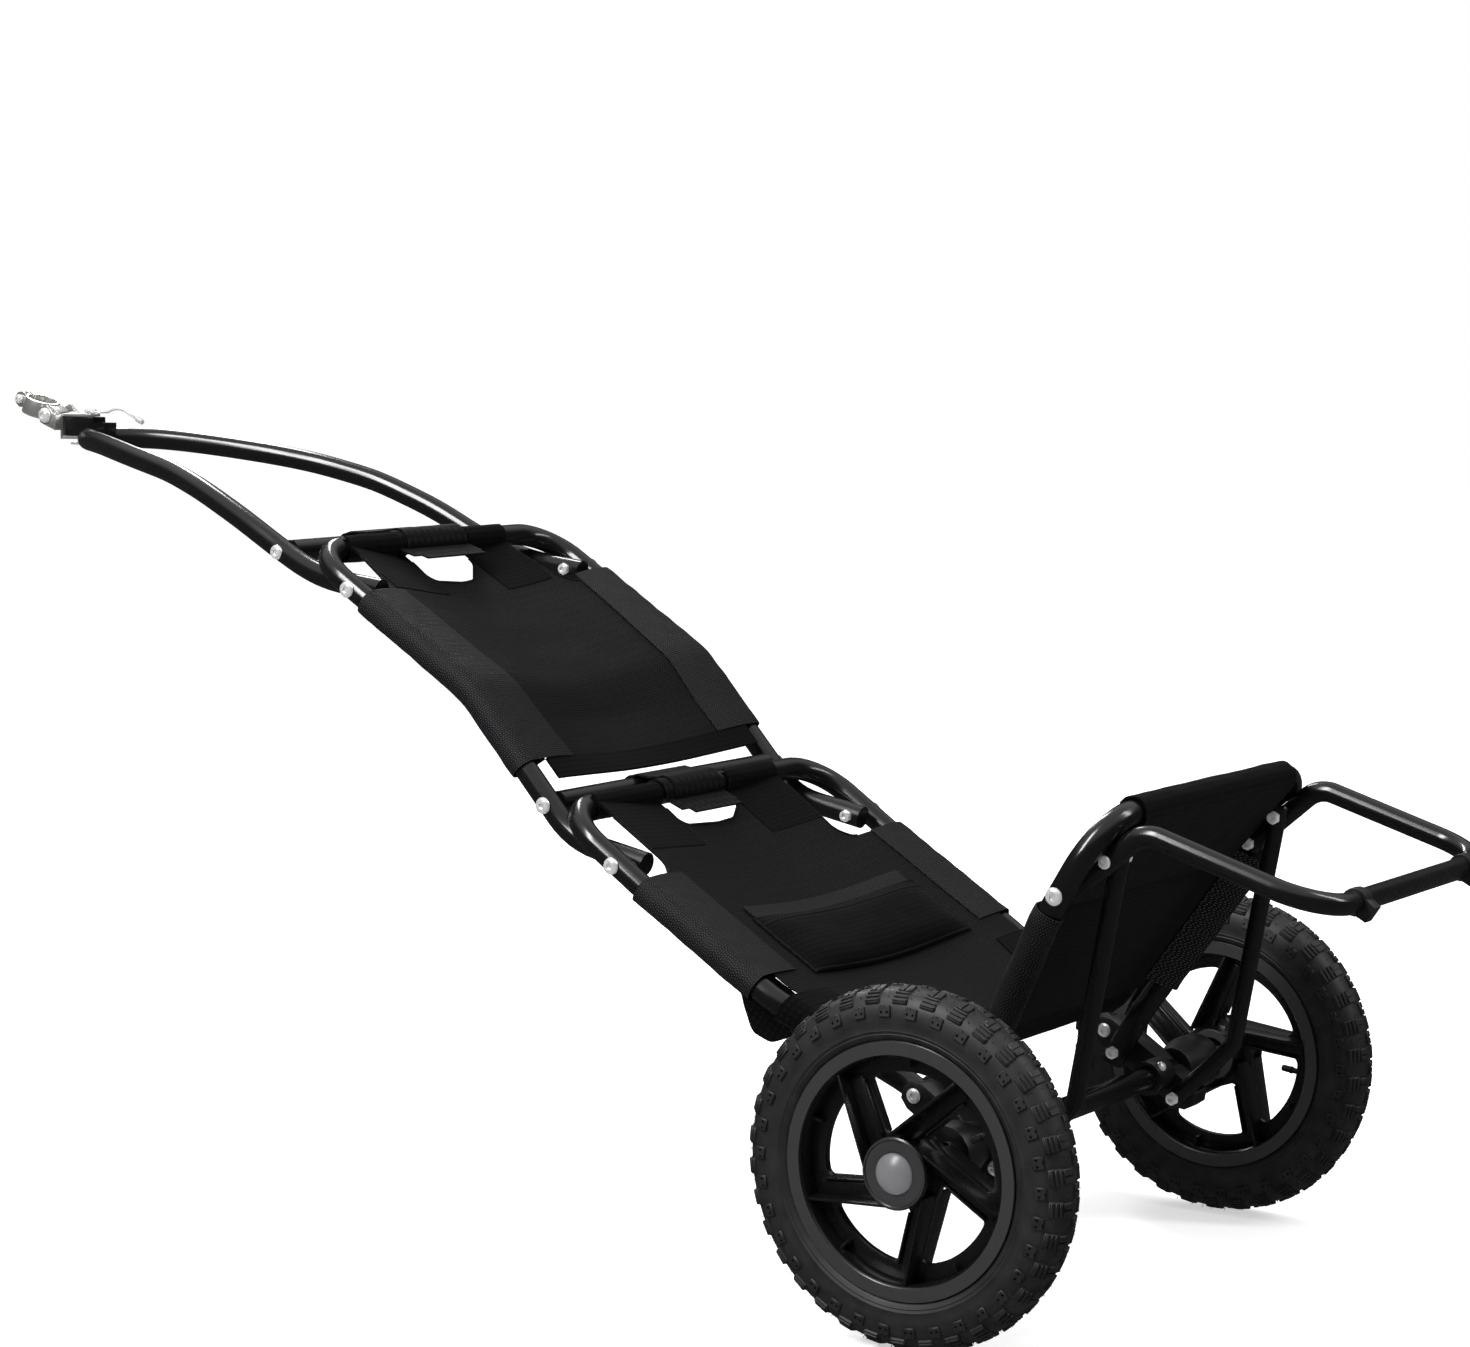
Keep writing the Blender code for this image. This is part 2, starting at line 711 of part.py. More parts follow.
LOWER_RAIL = Rail([LOWER_BAR, LOWER_BENDS[1], LOWER_BENDS[0], FRAME_RIVET])
UPPER_TAIL = FRAME_HINGE + (FRAME_HINGE - RAIL_FOOT).normalized() * RAIL_TAIL
UPPER_RAIL = Rail(fillet([UPPER_BAR, RAIL_KNEE, RAIL_FOOT, UPPER_TAIL], [RAIL_BEND, RAIL_BEND]))
SEAT_RAIL = Rail([SEAT_HINGE, SEAT_BAR])


def loop_path(half_points, radii):
    """A frame loop: a half path that ends at the bar's corner, and its mirror image."""
    other = [off_centre(p, -p.y) for p in reversed(half_points)]
    return fillet(half_points + other, radii + list(reversed(radii)))


def lower_loop():
    tail = FRAME_RIVET + (FRAME_RIVET - LOWER_BENDS[0]).normalized() * LOWER_TAIL
    foot = LOWER_RAIL.at(LOWER_RUN - LOWER_FOOT_STRAIGHT)
    half_points = [off_centre(tail, -LOWER_FOOT_HALF), off_centre(foot, -LOWER_FOOT_HALF),
                   off_centre(LOWER_RAIL.at(LOWER_TAPER_START), -LOWER_HALF),
                   off_centre(LOWER_BENDS[1], -LOWER_HALF), off_centre(LOWER_BAR, -LOWER_HALF)]
    return loop_path(half_points, [0.0, 0.0, 0.0, LOWER_CORNER])


def upper_loop():
    half_points = [off_centre(p, -UPPER_HALF) for p in (UPPER_TAIL, RAIL_FOOT, RAIL_KNEE, UPPER_BAR)]
    return loop_path(half_points, [RAIL_BEND, RAIL_BEND, UPPER_CORNER])


def seat_loop():
    tail = SEAT_HINGE - SEAT_DIR * SEAT_TAIL
    half_points = [off_centre(tail, -SEAT_FOOT_HALF),
                   off_centre(SEAT_RAIL.at(SEAT_FOOT_STRAIGHT), -SEAT_FOOT_HALF),
                   off_centre(SEAT_RAIL.at(SEAT_TAPER_END), -SEAT_HALF), off_centre(SEAT_BAR, -SEAT_HALF)]
    return loop_path(half_points, [0.0, 0.0, SEAT_CORNER])


def build_lower_frame():
    tube = hollow_tube(lower_loop(), FRAME_R)
    for side in (-1, 1):
        drill(tube, FRAME_RIVET, side, LOWER_FOOT_HALF - 0.03, LOWER_FOOT_HALF + 0.03)
        drill(tube, FRAME_HINGE, side, LOWER_HALF - 0.03, LOWER_HALF + 0.03)
    finish(tube, "lower_frame_tube", "coated_steel", ROOT)


def build_bracket():
    """The left axle bracket, with its screws' holes; the right one is its mirror image."""
    middle_y = LOWER_FOOT_HALF
    half_width = FRAME_R + GAP + PLATE
    centre = AXLE - ARM_UP * ARM_DROP
    outer = plate(stadium(-ARM_FRONT, ARM_REAR, ARM_HALF), 2 * half_width,
                  off_centre(centre, -middle_y), ARM_DIR, ARM_UP)
    inside = plate([(-ARM_FRONT - 0.01, -0.04), (ARM_REAR - PLATE - 0.004, -0.04),
                    (ARM_REAR - PLATE - 0.004, ARM_HALF - PLATE), (-ARM_FRONT - 0.01, ARM_HALF - PLATE)],
                   2 * (half_width - PLATE), off_centre(centre, -middle_y), ARM_DIR, ARM_UP)
    cut(outer, inside)
    inner_face = middle_y - half_width
    outer_face = middle_y + half_width
    collar = cross_rod(AXLE, -COLLAR_INNER_Y, -inner_face - PLATE / 2, COLLAR_R, 16)
    boss = aim(turned([(0.0, BOSS_END_Y), (BOSS_FLANGE_R, BOSS_END_Y), (BOSS_FLANGE_R, BOSS_END_Y - 0.026),
                       (BOSS_R, outer_face + 0.006), (BOSS_R, outer_face - PLATE / 2),
                       (0.0, outer_face - PLATE / 2)], 16), (0.0, 0.0, AXLE_HEIGHT), (0.0, -1.0, 0.0))
    join(outer, collar, boss)
    cut(outer, cross_rod(AXLE, -COLLAR_INNER_Y + 0.01, -BOSS_END_Y - 0.01,
                         (AXLE_TUBE_R + GAP) / math.cos(math.pi / 16), 16))
    for centre_at in (FRAME_RIVET, SEAT_HINGE, STRUT_FOOT):
        drill(outer, centre_at, -1, inner_face - 0.002, outer_face + 0.002)
    screw_dir = Vector((1.0, 0.0, 1.0)).normalized()
    base = off_centre(AXLE, -COLLAR_SCREW_Y)
    cut(outer, rod(base, base + screw_dir * (COLLAR_R + 0.004), SCREW_R + SLACK))
    return outer


def build_axle():
    mirror = build_bracket()
    copy = mirrored(mirror)
    finish(mirror, "axle_bracket_left", "cast_bracket", ROOT)
    finish(copy, "axle_bracket_right", "cast_bracket", ROOT)
    low, high = -AXLE_TUBE_HALF, AXLE_TUBE_HALF
    tube = cross_rod(AXLE, low, high, AXLE_TUBE_R, 16)
    cut(tube, cross_rod(AXLE, low - 0.01, high + 0.01, AXLE_R + 2 * GAP, 12))
    finish(tube, "axle_tube", "coated_steel", ROOT)
    shaft_half = HUB_OUTER_Y - 0.002
    finish(cross_rod(AXLE, -shaft_half, shaft_half, AXLE_R, 12), "axle_shaft", "bright_steel", ROOT)
    screw_dir = Vector((1.0, 0.0, 1.0)).normalized()
    half_width = FRAME_R + GAP + PLATE
    head_y = LOWER_FOOT_HALF + half_width + GAP
    for side in (-1, 1):
        label = side_name(side)
        base = off_centre(AXLE, side * COLLAR_SCREW_Y)
        stem_start = AXLE_TUBE_R + 2 * GAP
        shape = turned([(0.0, COLLAR_R + 0.0040), (0.0045, COLLAR_R + 0.0040), (0.0045, COLLAR_R + GAP),
                        (SCREW_R, COLLAR_R + GAP), (SCREW_R, stem_start), (0.0, stem_start)])
        finish(aim(shape, base, screw_dir), f"collar_screw_{label}", "bright_steel", ROOT)
        side_screw(f"seat_hinge_screw_{label}", SEAT_HINGE, side, head_y,
                   SEAT_FOOT_HALF - FRAME_R - GAP, ROOT, SMALL_HEAD_R)
        side_screw(f"strut_foot_screw_{label}", STRUT_FOOT, side, head_y,
                   STRUT_HALF - STRUT_R - GAP, ROOT, SMALL_HEAD_R)
        inner = LOWER_FOOT_HALF - half_width - GAP
        grip = head_y - inner
        rivet = [(0.0, RIVET_HEAD), (0.0040, RIVET_HEAD), (SMALL_HEAD_R, 0.0), (SCREW_R, 0.0),
                 (SCREW_R, -grip), (SMALL_HEAD_R, -grip), (0.0040, -grip - RIVET_HEAD),
                 (0.0, -grip - RIVET_HEAD)]
        finish(along_y(rivet, FRAME_RIVET, side, head_y), f"frame_rivet_{label}", "bright_steel", ROOT)


def on_spoke(turn, offset, radius):
    """A point of a line that runs along a spoke's direction at an offset, at a radius from the hub."""
    along = math.sqrt(radius * radius - offset * offset)
    return (along * math.cos(turn) - offset * math.sin(turn),
            along * math.sin(turn) + offset * math.cos(turn))


def window_outline(turn):
    """An opening of the web, from one spoke's rib to the flange of the next spoke."""
    after = turn + 2 * math.pi / SPOKES
    first = on_spoke(turn, RIB_OFFSET, WINDOW_OUTER_R)
    last = on_spoke(after, FLANGE_OFFSET, WINDOW_OUTER_R)
    start = math.atan2(first[1], first[0])
    sweep = (math.atan2(last[1], last[0]) - start) % (2 * math.pi)
    outline = [on_spoke(turn, RIB_OFFSET, WINDOW_INNER_R)]
    for step in range(WINDOW_STEPS + 1):
        angle = start + sweep * step / WINDOW_STEPS
        outline.append((WINDOW_OUTER_R * math.cos(angle), WINDOW_OUTER_R * math.sin(angle)))
    outline.append(on_spoke(after, FLANGE_OFFSET, WINDOW_INNER_R))
    return outline


def build_web(side, centre):
    """The wheel's web with its openings, and a rib along one edge of each spoke."""
    circle = [2 * math.pi * index / RING_STEPS for index in range(RING_STEPS)]
    outer_r = RIM_INNER_R + WEB_INTO_RIM
    outline = [(outer_r * math.cos(angle), outer_r * math.sin(angle)) for angle in circle]
    turns = [SPOKE_TURN[side] + 2 * math.pi * index / SPOKES for index in range(SPOKES)]
    x_axis = Vector((1.0, 0.0, 0.0))
    z_axis = Vector((0.0, 0.0, 1.0))
    web = plate(outline, WEB_THICKNESS, centre, x_axis, z_axis, [window_outline(turn) for turn in turns])
    half_rim = RIM_WIDTH / 2
    front = HUB_FACE_Y - WHEEL_Y - RIB_BELOW_FACE
    back = HUB_BACK - RIB_BELOW_FACE
    profile = [(RIB_START, -back), (RIB_SHOULDER, -back), (RIB_END, -half_rim + RIB_BELOW_FACE),
               (RIB_END, half_rim - RIB_BELOW_FACE), (RIB_SHOULDER, front), (RIB_START, front)]
    for turn in turns:
        along = Vector((math.cos(turn), 0.0, math.sin(turn)))
        normal = Vector((-math.sin(turn), 0.0, math.cos(turn)))
        base = centre + normal * (RIB_OFFSET - RIB_THICKNESS / 2)
        join(web, plate(profile, RIB_THICKNESS, base, along, Vector((0.0, side, 0.0))))
    return web


def build_wheel(side):
    label = side_name(side)
    empty = WHEEL_EMPTIES[side]
    centre = off_centre(AXLE, side * WHEEL_Y)
    out = (0.0, side, 0.0)
    half_rim = RIM_WIDTH / 2
    half_tyre = TYRE_WIDTH / 2
    seat_r = RIM_OUTER_R - RIM_SEAT_DEPTH
    tyre_r = AXLE_HEIGHT
    crown = (tyre_r - RIM_OUTER_R) / 2
    section = [(seat_r + GAP, half_rim - 0.0065), (RIM_OUTER_R + 0.004, half_rim - 0.001)]
    for angle in (-35, 5, 50):
        bend = math.radians(angle)
        section.append((RIM_OUTER_R + crown + crown * math.sin(bend), half_tyre * math.cos(bend)))
    outer = section + [(tyre_r, 0.0)] + [(r, -h) for r, h in reversed(section)]
    middle_r = RIM_OUTER_R + crown
    cavity = [(seat_r + GAP, half_rim - 0.0065 - TYRE_WALL), (middle_r, half_tyre - TYRE_WALL),
              (tyre_r - 1.5 * TYRE_WALL, half_tyre * 0.45)]
    inner = [(r, -h) for r, h in cavity] + list(reversed(cavity))
    tyre = turned(outer + inner + [outer[0]], RING_STEPS)
    finish(aim(tyre, centre, out), f"tyre_{label}", "tyre_rubber", empty)
    lip = half_rim - RIM_LIP
    ring = turned([(RIM_INNER_R, half_rim), (RIM_OUTER_R, half_rim), (RIM_OUTER_R, lip), (seat_r, lip),
                   (seat_r, -lip), (RIM_OUTER_R, -lip), (RIM_OUTER_R, -half_rim), (RIM_INNER_R, -half_rim),
                   (RIM_INNER_R, half_rim)], RING_STEPS)
    face = HUB_FACE_Y - WHEEL_Y
    disc = turned([(0.0, face), (HUB_DISC_R, face), (HUB_DISC_R, face - HUB_DISC_DEPTH),
                   (HUB_NECK_R, WEB_THICKNESS), (HUB_NECK_R, -HUB_BACK), (0.0, -HUB_BACK)], 16)
    aim(ring, centre, out)
    aim(disc, centre, out)
    join(ring, build_web(side, centre), disc)
    rim_y = WHEEL_Y + half_rim
    reach = half_rim + HUB_BACK
    cut(ring, cross_rod(AXLE, side * (WHEEL_Y - reach), side * (WHEEL_Y + reach), HUB_R + GAP * 2, 16))
    cut(ring, cross_rod(AXLE, side * (rim_y - CAP_SINK - GAP), side * (rim_y + reach),
                        (CAP_R + GAP) / math.cos(math.pi / 16), 16))
    valve_turn = VALVE_TURN[side]
    valve_dir = Vector((math.cos(valve_turn), 0.0, math.sin(valve_turn)))
    valve_foot = centre + valve_dir * (RIM_OUTER_R + VALVE_R)
    valve_tip = centre + valve_dir * (RIM_INNER_R - VALVE_LENGTH)
    cut(ring, rod(valve_tip, valve_foot, VALVE_R + SLACK))
    finish(ring, f"wheel_rim_{label}", "wheel_plastic", empty)
    bush = turned([(0.0, HUB_OUTER_Y), (HUB_R, HUB_OUTER_Y), (HUB_R, HUB_INNER_Y), (0.0, HUB_INNER_Y)], 16)
    aim(bush, (0.0, 0.0, AXLE_HEIGHT), out)
    ends = (side * (HUB_INNER_Y - 0.01), side * (HUB_OUTER_Y + 0.01))
    cut(bush, cross_rod(AXLE, *ends, AXLE_R + 2 * GAP, 12))
    finish(bush, f"hub_bush_{label}", "black_plastic", empty)
    rise = CAP_FACE_Y - HUB_OUTER_Y
    skirt = HUB_OUTER_Y - rim_y + CAP_SINK
    cap = turned([(0.0, rise), (CAP_R * 0.55, rise * 0.86), (CAP_R, rise * 0.30), (CAP_R, -skirt),
                  (HUB_R + GAP, -skirt), (HUB_R + GAP, GAP), (0.0, GAP)], 16)
    finish(aim(cap, (0.0, side * HUB_OUTER_Y, AXLE_HEIGHT), out), f"hub_cap_{label}", "cap_plastic", empty)
    foot_r = seat_r + VALVE_FOOT
    stem = rod(centre + valve_dir * (foot_r - VALVE_LENGTH), centre + valve_dir * foot_r, VALVE_R)
    finish(stem, f"valve_{label}", "black_plastic", empty)


def cross_tube(centre, half, head_y, name, parent):
    """A cross tube with its end screws: turned, hollow, with a drain hole below."""
    outline = [(0.0, head_y + HEAD_HEIGHT), (HEAD_R * 0.62, head_y + HEAD_HEIGHT),
               (HEAD_R, head_y + HEAD_HEIGHT * 0.35), (HEAD_R, head_y), (SCREW_R, head_y),
               (SCREW_R, half), (FRAME_R, half)]
    tube = turned(outline + [(r, -h) for r, h in reversed(outline)])
    aim(tube, centre, (0.0, 1.0, 0.0))
    hollow = cross_rod(centre, -half + 0.012, half - 0.012, FRAME_R - WALL)
    join(hollow, rod(centre, centre - Vector((0.0, 0.0, 0.02)), 0.0025, 8))
    cut(tube, hollow)
    finish(tube, name, "coated_steel", parent)


def build_upper_frame():
    tube = hollow_tube(upper_loop(), FRAME_R)
    for side in (-1, 1):
        for centre in (FRAME_HINGE, CROSS_TUBE, DRAWBAR_PIVOT):
            drill(tube, centre, side, UPPER_HALF - 0.02, UPPER_HALF + 0.02)
    finish(tube, "upper_frame_tube", "coated_steel", UPPER_EMPTY)
    half = UPPER_HALF - FRAME_R - GAP
    head_y = UPPER_HALF + FRAME_R + GAP
    cross_tube(CROSS_TUBE, half, head_y, "upper_cross_tube", UPPER_EMPTY)
    leg_inner = LEG_POINTS[0][1] - FRAME_R - GAP
    spacer_outer = LOWER_HALF - FRAME_R - GAP
    spacer_inner = UPPER_HALF + FRAME_R + GAP
    for side in (-1, 1):
        label = side_name(side)
        side_screw(f"drawbar_pivot_screw_{label}", DRAWBAR_PIVOT, side, head_y, leg_inner, UPPER_EMPTY)
        outer = LOWER_HALF + FRAME_R + GAP
        inner = UPPER_HALF - FRAME_R - GAP
        profile = [(0.0, HEAD_HEIGHT), (HEAD_R * 0.62, HEAD_HEIGHT), (HEAD_R, HEAD_HEIGHT * 0.35),
                   (HEAD_R, 0.0), (SCREW_R, 0.0), (SCREW_R, spacer_outer - outer),
                   (HEAD_R, spacer_outer - outer), (HEAD_R, spacer_inner - outer),
                   (SCREW_R, spacer_inner - outer), (SCREW_R, inner - outer), (NUT_R, inner - outer),
                   (NUT_R, inner - outer - NUT_HEIGHT), (0.0, inner - outer - NUT_HEIGHT)]
        screw = along_y(profile, FRAME_HINGE, side, outer)
        finish(screw, f"frame_hinge_screw_{label}", "bright_steel", ROOT)


def leg_path():
    """The leg's points from the drawbar pivot, stretched in front of the cross tube."""
    last_reach, _, last_rise = LEG_POINTS[-1]
    more_reach = PIN_X + DRAWBAR_PIVOT.x - LEG_NOSE_REACH
    more_rise = BLOCK_BOTTOM - NOSE_BELOW_BLOCK - DRAWBAR_PIVOT.z - last_rise
    points = []
    for reach, half, rise in LEG_POINTS:
        share = max(0.0, reach - LEG_CROSS_FORWARD) / (last_reach - LEG_CROSS_FORWARD)
        points.append((reach - DRAWBAR_PIVOT.x + more_reach * share, half,
                       DRAWBAR_PIVOT.z + rise + more_rise * share))
    return points


def leg_at(forward):
    """Half width and height of a leg's centre line at a distance in front of the axle."""
    for first, second in zip(leg_path(), leg_path()[1:]):
        if first[0] <= forward <= second[0]:
            share = (forward - first[0]) / (second[0] - first[0])
            return tuple(a + (b - a) * share for a, b in zip(first[1:], second[1:]))
    return leg_path()[0][1:]


def drawbar_cross_centre():
    forward = LEG_CROSS_FORWARD - DRAWBAR_PIVOT.x
    return point(-forward, leg_at(forward)[1])


def build_drawbar():
    for side in (-1, 1):
        path = [Vector((-forward, side * half, height)) for forward, half, height in leg_path()]
        leg = hollow_tube(path, FRAME_R)
        edge, far = side * (BLOCK_HALF + GAP), -side * LEG_POINTS[0][1]
        nose = NOSE_BEHIND_PIN - PIN_X
        past = 2 * HITCH_REACH
        cut(leg, block((-past, min(edge, far), 0.0), (0.0, max(edge, far), past)))
        cut(leg, block((-past, -HITCH_REACH, 0.0), (nose, HITCH_REACH, past)))
        drill(leg, DRAWBAR_PIVOT, side, LEG_POINTS[0][1] - 0.02, LEG_POINTS[0][1] + 0.02)
        finish(leg, f"drawbar_leg_{side_name(side)}", "coated_steel", DRAWBAR_EMPTY)
    tongue = block((-BLOCK_FRONT, -BLOCK_HALF, BLOCK_BOTTOM), (-BLOCK_REAR, BLOCK_HALF, BLOCK_TOP))
    cut(tongue, rod((-PIN_X, 0.0, BLOCK_BOTTOM - 0.01), (-PIN_X, 0.0, BLOCK_TOP + 0.01), PIN_R + 2 * GAP))
    finish(tongue, "tongue_block", "coated_steel", DRAWBAR_EMPTY)


def build_drawbar_cross():
    centre = drawbar_cross_centre()
    half = leg_at(FRAME_R - centre.x)[0] - FRAME_R - GAP
    tube = cross_rod(centre, -half, half, FRAME_R)
    cut(tube, cross_rod(centre, -half - 0.01, half + 0.01, FRAME_R - WALL))
    finish(tube, "drawbar_cross_tube", "coated_steel", DRAWBAR_EMPTY)


def build_seat():
    tube = hollow_tube(seat_loop(), FRAME_R)
    for side in (-1, 1):
        drill(tube, SEAT_HINGE, side, SEAT_FOOT_HALF - 0.02, SEAT_FOOT_HALF + 0.02)
        drill(tube, STAND_HINGE, side, SEAT_HALF - 0.02, SEAT_HALF + 0.02)
        side_screw(f"stand_hinge_screw_{side_name(side)}", STAND_HINGE, side, SEAT_HALF + FRAME_R + GAP,
                   STAND_HALF - STAND_R - GAP, SEAT_EMPTY)
    finish(tube, "seat_loop", "coated_steel", SEAT_EMPTY)


def build_stand():
    tail = STAND_HINGE - STAND_DIR * STAND_TAIL
    half_points = [off_centre(p, -STAND_HALF) for p in (tail, STAND_KNEE, STAND_BAR)]
    tube = hollow_tube(loop_path(half_points, [STAND_BEND, STAND_CORNER]), STAND_R)
    strut_outer = STRUT_HALF + STRUT_R + GAP
    for side in (-1, 1):
        label = side_name(side)
        for centre in (STAND_HINGE, STAND_PIN):
            drill(tube, centre, side, STAND_HALF - 0.02, STAND_HALF + 0.02)
        head_y = STAND_HALF + STAND_R + GAP
        grip = head_y - strut_outer
        profile = [(0.0, PIN_CAP_HEIGHT), (PIN_CAP_R * 0.7, PIN_CAP_HEIGHT), (PIN_CAP_R, 0.0),
                   (SCREW_R, 0.0), (SCREW_R, -grip), (0.0, -grip)]
        finish(along_y(profile, STAND_PIN, side, head_y), f"stand_pin_{label}", "bright_steel", STAND_EMPTY)
        build_foot(side)
    finish(tube, "stand_loop", "coated_steel", STAND_EMPTY)


def build_foot(side):
    """A plastic foot round the stand's bar, flat where it meets the floor with the trailer stood up."""
    down = Vector((math.sin(STAND_LEAN), 0.0, -math.cos(STAND_LEAN)))
    level = Vector((math.cos(STAND_LEAN), 0.0, math.sin(STAND_LEAN)))
    low, high = side * (FOOT_Y - FOOT_LENGTH / 2), side * (FOOT_Y + FOOT_LENGTH / 2)
    foot = cross_rod(STAND_BAR, low, high, FOOT_R, 16)
    half = FOOT_R * 0.8
    pad = plate([(-half, 0.0), (half, 0.0), (half * 0.8, FOOT_REACH), (-half * 0.8, FOOT_REACH)],
                FOOT_LENGTH, off_centre(STAND_BAR, side * FOOT_Y), level, down)
    join(foot, pad)
    bore = (STAND_R + GAP) / math.cos(math.pi / 16)
    cut(foot, cross_rod(STAND_BAR, side * (FOOT_Y - 0.03), side * (FOOT_Y + 0.03), bore, 16))
    finish(foot, f"stand_foot_{side_name(side)}", "black_plastic", STAND_EMPTY)


def build_struts():
    down = (STRUT_KNEE - STAND_PIN).normalized()
    foot = (STRUT_FOOT - STRUT_KNEE).normalized()
    path = fillet([STAND_PIN - down * STRUT_TAIL, STRUT_KNEE, STRUT_FOOT + foot * STRUT_TAIL], [STRUT_BEND])
    for side in (-1, 1):
        strut = hollow_tube([off_centre(p, side * STRUT_HALF) for p in path], STRUT_R)
        for centre in (STAND_PIN, STRUT_FOOT):
            drill(strut, centre, side, STRUT_HALF - 0.02, STRUT_HALF + 0.02)
        finish(strut, f"strut_{side_name(side)}", "coated_steel", STRUT_EMPTY)
        reach = 2 * (STRUT_R - GAP)
        nut = turned([(0.0, 0.0), (SCREW_R, 0.0), (SCREW_R, -reach - 4 * GAP), (NUT_R, -reach - 4 * GAP),
                      (NUT_R, -reach - NUT_HEIGHT), (0.0, -reach - NUT_HEIGHT)])
        place_y = STRUT_HALF + STRUT_R - GAP
        aim(nut, (STAND_PIN.x, side * place_y, STAND_PIN.z), (0.0, side, 0.0))
        finish(nut, f"strut_nut_{side_name(side)}", "bright_steel", STRUT_EMPTY)


def cloth_sheet(stations, point_at, half_at, sag_at, thickness=CLOTH, lift=0.0, columns=SHEET_COLUMNS):
    """A sheet across a frame: stations down its rails, sagging towards its middle.

    With fewer columns it keeps the full sheet's column lines and so covers only its middle.
    """
    cover = columns / SHEET_COLUMNS
    work = bmesh.new()
    bmesh.ops.create_grid(work, x_segments=len(stations) - 1, y_segments=columns, size=1.0)
    for vertex in work.verts:
        index = round((vertex.co.x + 1.0) / 2 * (len(stations) - 1))
        station = stations[index]
        share = vertex.co.y * cover
        base, up = point_at(station)
        drop = sag_at(station) * (1 - share * share) ** 2
        vertex.co = off_centre(base + up * (EDGE_RISE + lift - drop), share * half_at(station))
    mesh = bpy.data.meshes.new("sheet")
    work.to_mesh(mesh)
    work.free()
    obj = bpy.data.objects.new("sheet", mesh)
    TRAILER.objects.link(obj)
    thicken = obj.modifiers.new("cloth", "SOLIDIFY")
    thicken.thickness = thickness
    thicken.offset = 0.0
    return as_shape(obj)


def across_cutter(outline, origin, down):
    """A cutter whose outline is (station, y) and which runs right through a panel."""
    return plate(outline, CUTTER_DEPTH, origin, down, Vector((0.0, 1.0, 0.0)))


def both_sides(outline):
    return (outline, [(station, -y) for station, y in reversed(outline)])


def bore_radius():
    return (FRAME_R + GAP) / math.cos(math.pi / SIDES)


def station_list(start, end, step):
    count = max(1, round((end - start) / step))
    return [start + (end - start) * index / count for index in range(count + 1)]


def armhole_outline(shoulder, depth, round_size):
    """The inner side of an armhole, from beyond the bar down to its lower corner."""
    return [(-CUT_PAST, shoulder), (depth - 2.2 * round_size, shoulder + ARMHOLE_LEAN),
            (depth - 0.6 * round_size, shoulder + 0.6 * round_size + ARMHOLE_LEAN),
            (depth, shoulder + 1.6 * round_size)]


def neck_outline(half, depth, round_size):
    """The opening between the shoulders, from beyond the bar."""
    return [(-CUT_PAST, -half), (depth - round_size, -half), (depth, -half + round_size),
            (depth, half - round_size), (depth - round_size, half), (-CUT_PAST, half)]


def build_upper_panel():
    def point_at(station):
        return UPPER_RAIL.at(station), UPPER_RAIL.rise(station)

    def sag_at(station):
        ease = min(1.0, (UPPER_HEM + 0.05 - station) / 0.12)
        return UPPER_SAG * ease

    panel = cloth_sheet(station_list(0.004, UPPER_HEM, 0.068), point_at, lambda station: UPPER_HALF, sag_at)
    down = UPPER_RAIL.slope(0.02)
    for side in (-1, 1):
        covered = UPPER_RAIL.between(UPPER_SLEEVE_START, UPPER_SLEEVE_END)
        rail = [off_centre(p, side * UPPER_HALF) for p in covered]
        join(panel, pipe(rail, SLEEVE_R))
        join(panel, cross_rod(UPPER_BAR, side * UPPER_SHOULDER_INNER, side * UPPER_SHOULDER_OUTER, SLEEVE_R))
    outer = UPPER_HALF + CUT_PAST
    sleeve_edge = UPPER_SLEEVE_START - CLOTH / 2
    inner_edge = UPPER_HALF - SLEEVE_R - 2 * CLOTH
    armhole = armhole_outline(UPPER_SHOULDER_OUTER, UPPER_ARMHOLE, UPPER_ARMHOLE_ROUND)
    armhole += [(UPPER_ARMHOLE, inner_edge), (sleeve_edge, inner_edge + CLOTH * 1.5), (sleeve_edge, outer),
                (-CUT_PAST, outer)]
    neck = neck_outline(UPPER_SHOULDER_INNER, UPPER_NECK_DEPTH, UPPER_NECK_ROUND)
    for outline in (*both_sides(armhole), neck):
        cut(panel, across_cutter(outline, UPPER_BAR, down))
    hem_start = UPPER_SLEEVE_END + SLACK
    hem_end = UPPER_HEM + CUT_PAST
    hem = [(hem_start, inner_edge), (hem_start, outer), (hem_end, outer), (hem_end, inner_edge)]
    hem_middle = (UPPER_SLEEVE_END + UPPER_HEM) / 2
    hem_down = UPPER_RAIL.slope(hem_middle)
    hem_origin = UPPER_RAIL.at(hem_middle) - hem_down * hem_middle
    for outline in both_sides(hem):
        cut(panel, across_cutter(outline, hem_origin, hem_down))
    cut(panel, pipe(upper_loop(), FRAME_R + SLACK))
    finish(panel, "upper_panel", "black_cloth", UPPER_EMPTY)


def sling_point(share):
    """The sling's path from the end of the lower panel, round to the seat."""
    start = LOWER_RAIL.at(LOWER_PATCH_END) + LOWER_RAIL.rise(LOWER_PATCH_END) * EDGE_RISE
    end = SEAT_HINGE + SEAT_DIR * SLING_END + SEAT_UP * EDGE_RISE
    corner = SEAT_HINGE + point(-SLING_CORNER_AHEAD, SLING_CORNER_RISE)
    return start * (1 - share) ** 2 + corner * (2 * share * (1 - share)) + end * share ** 2


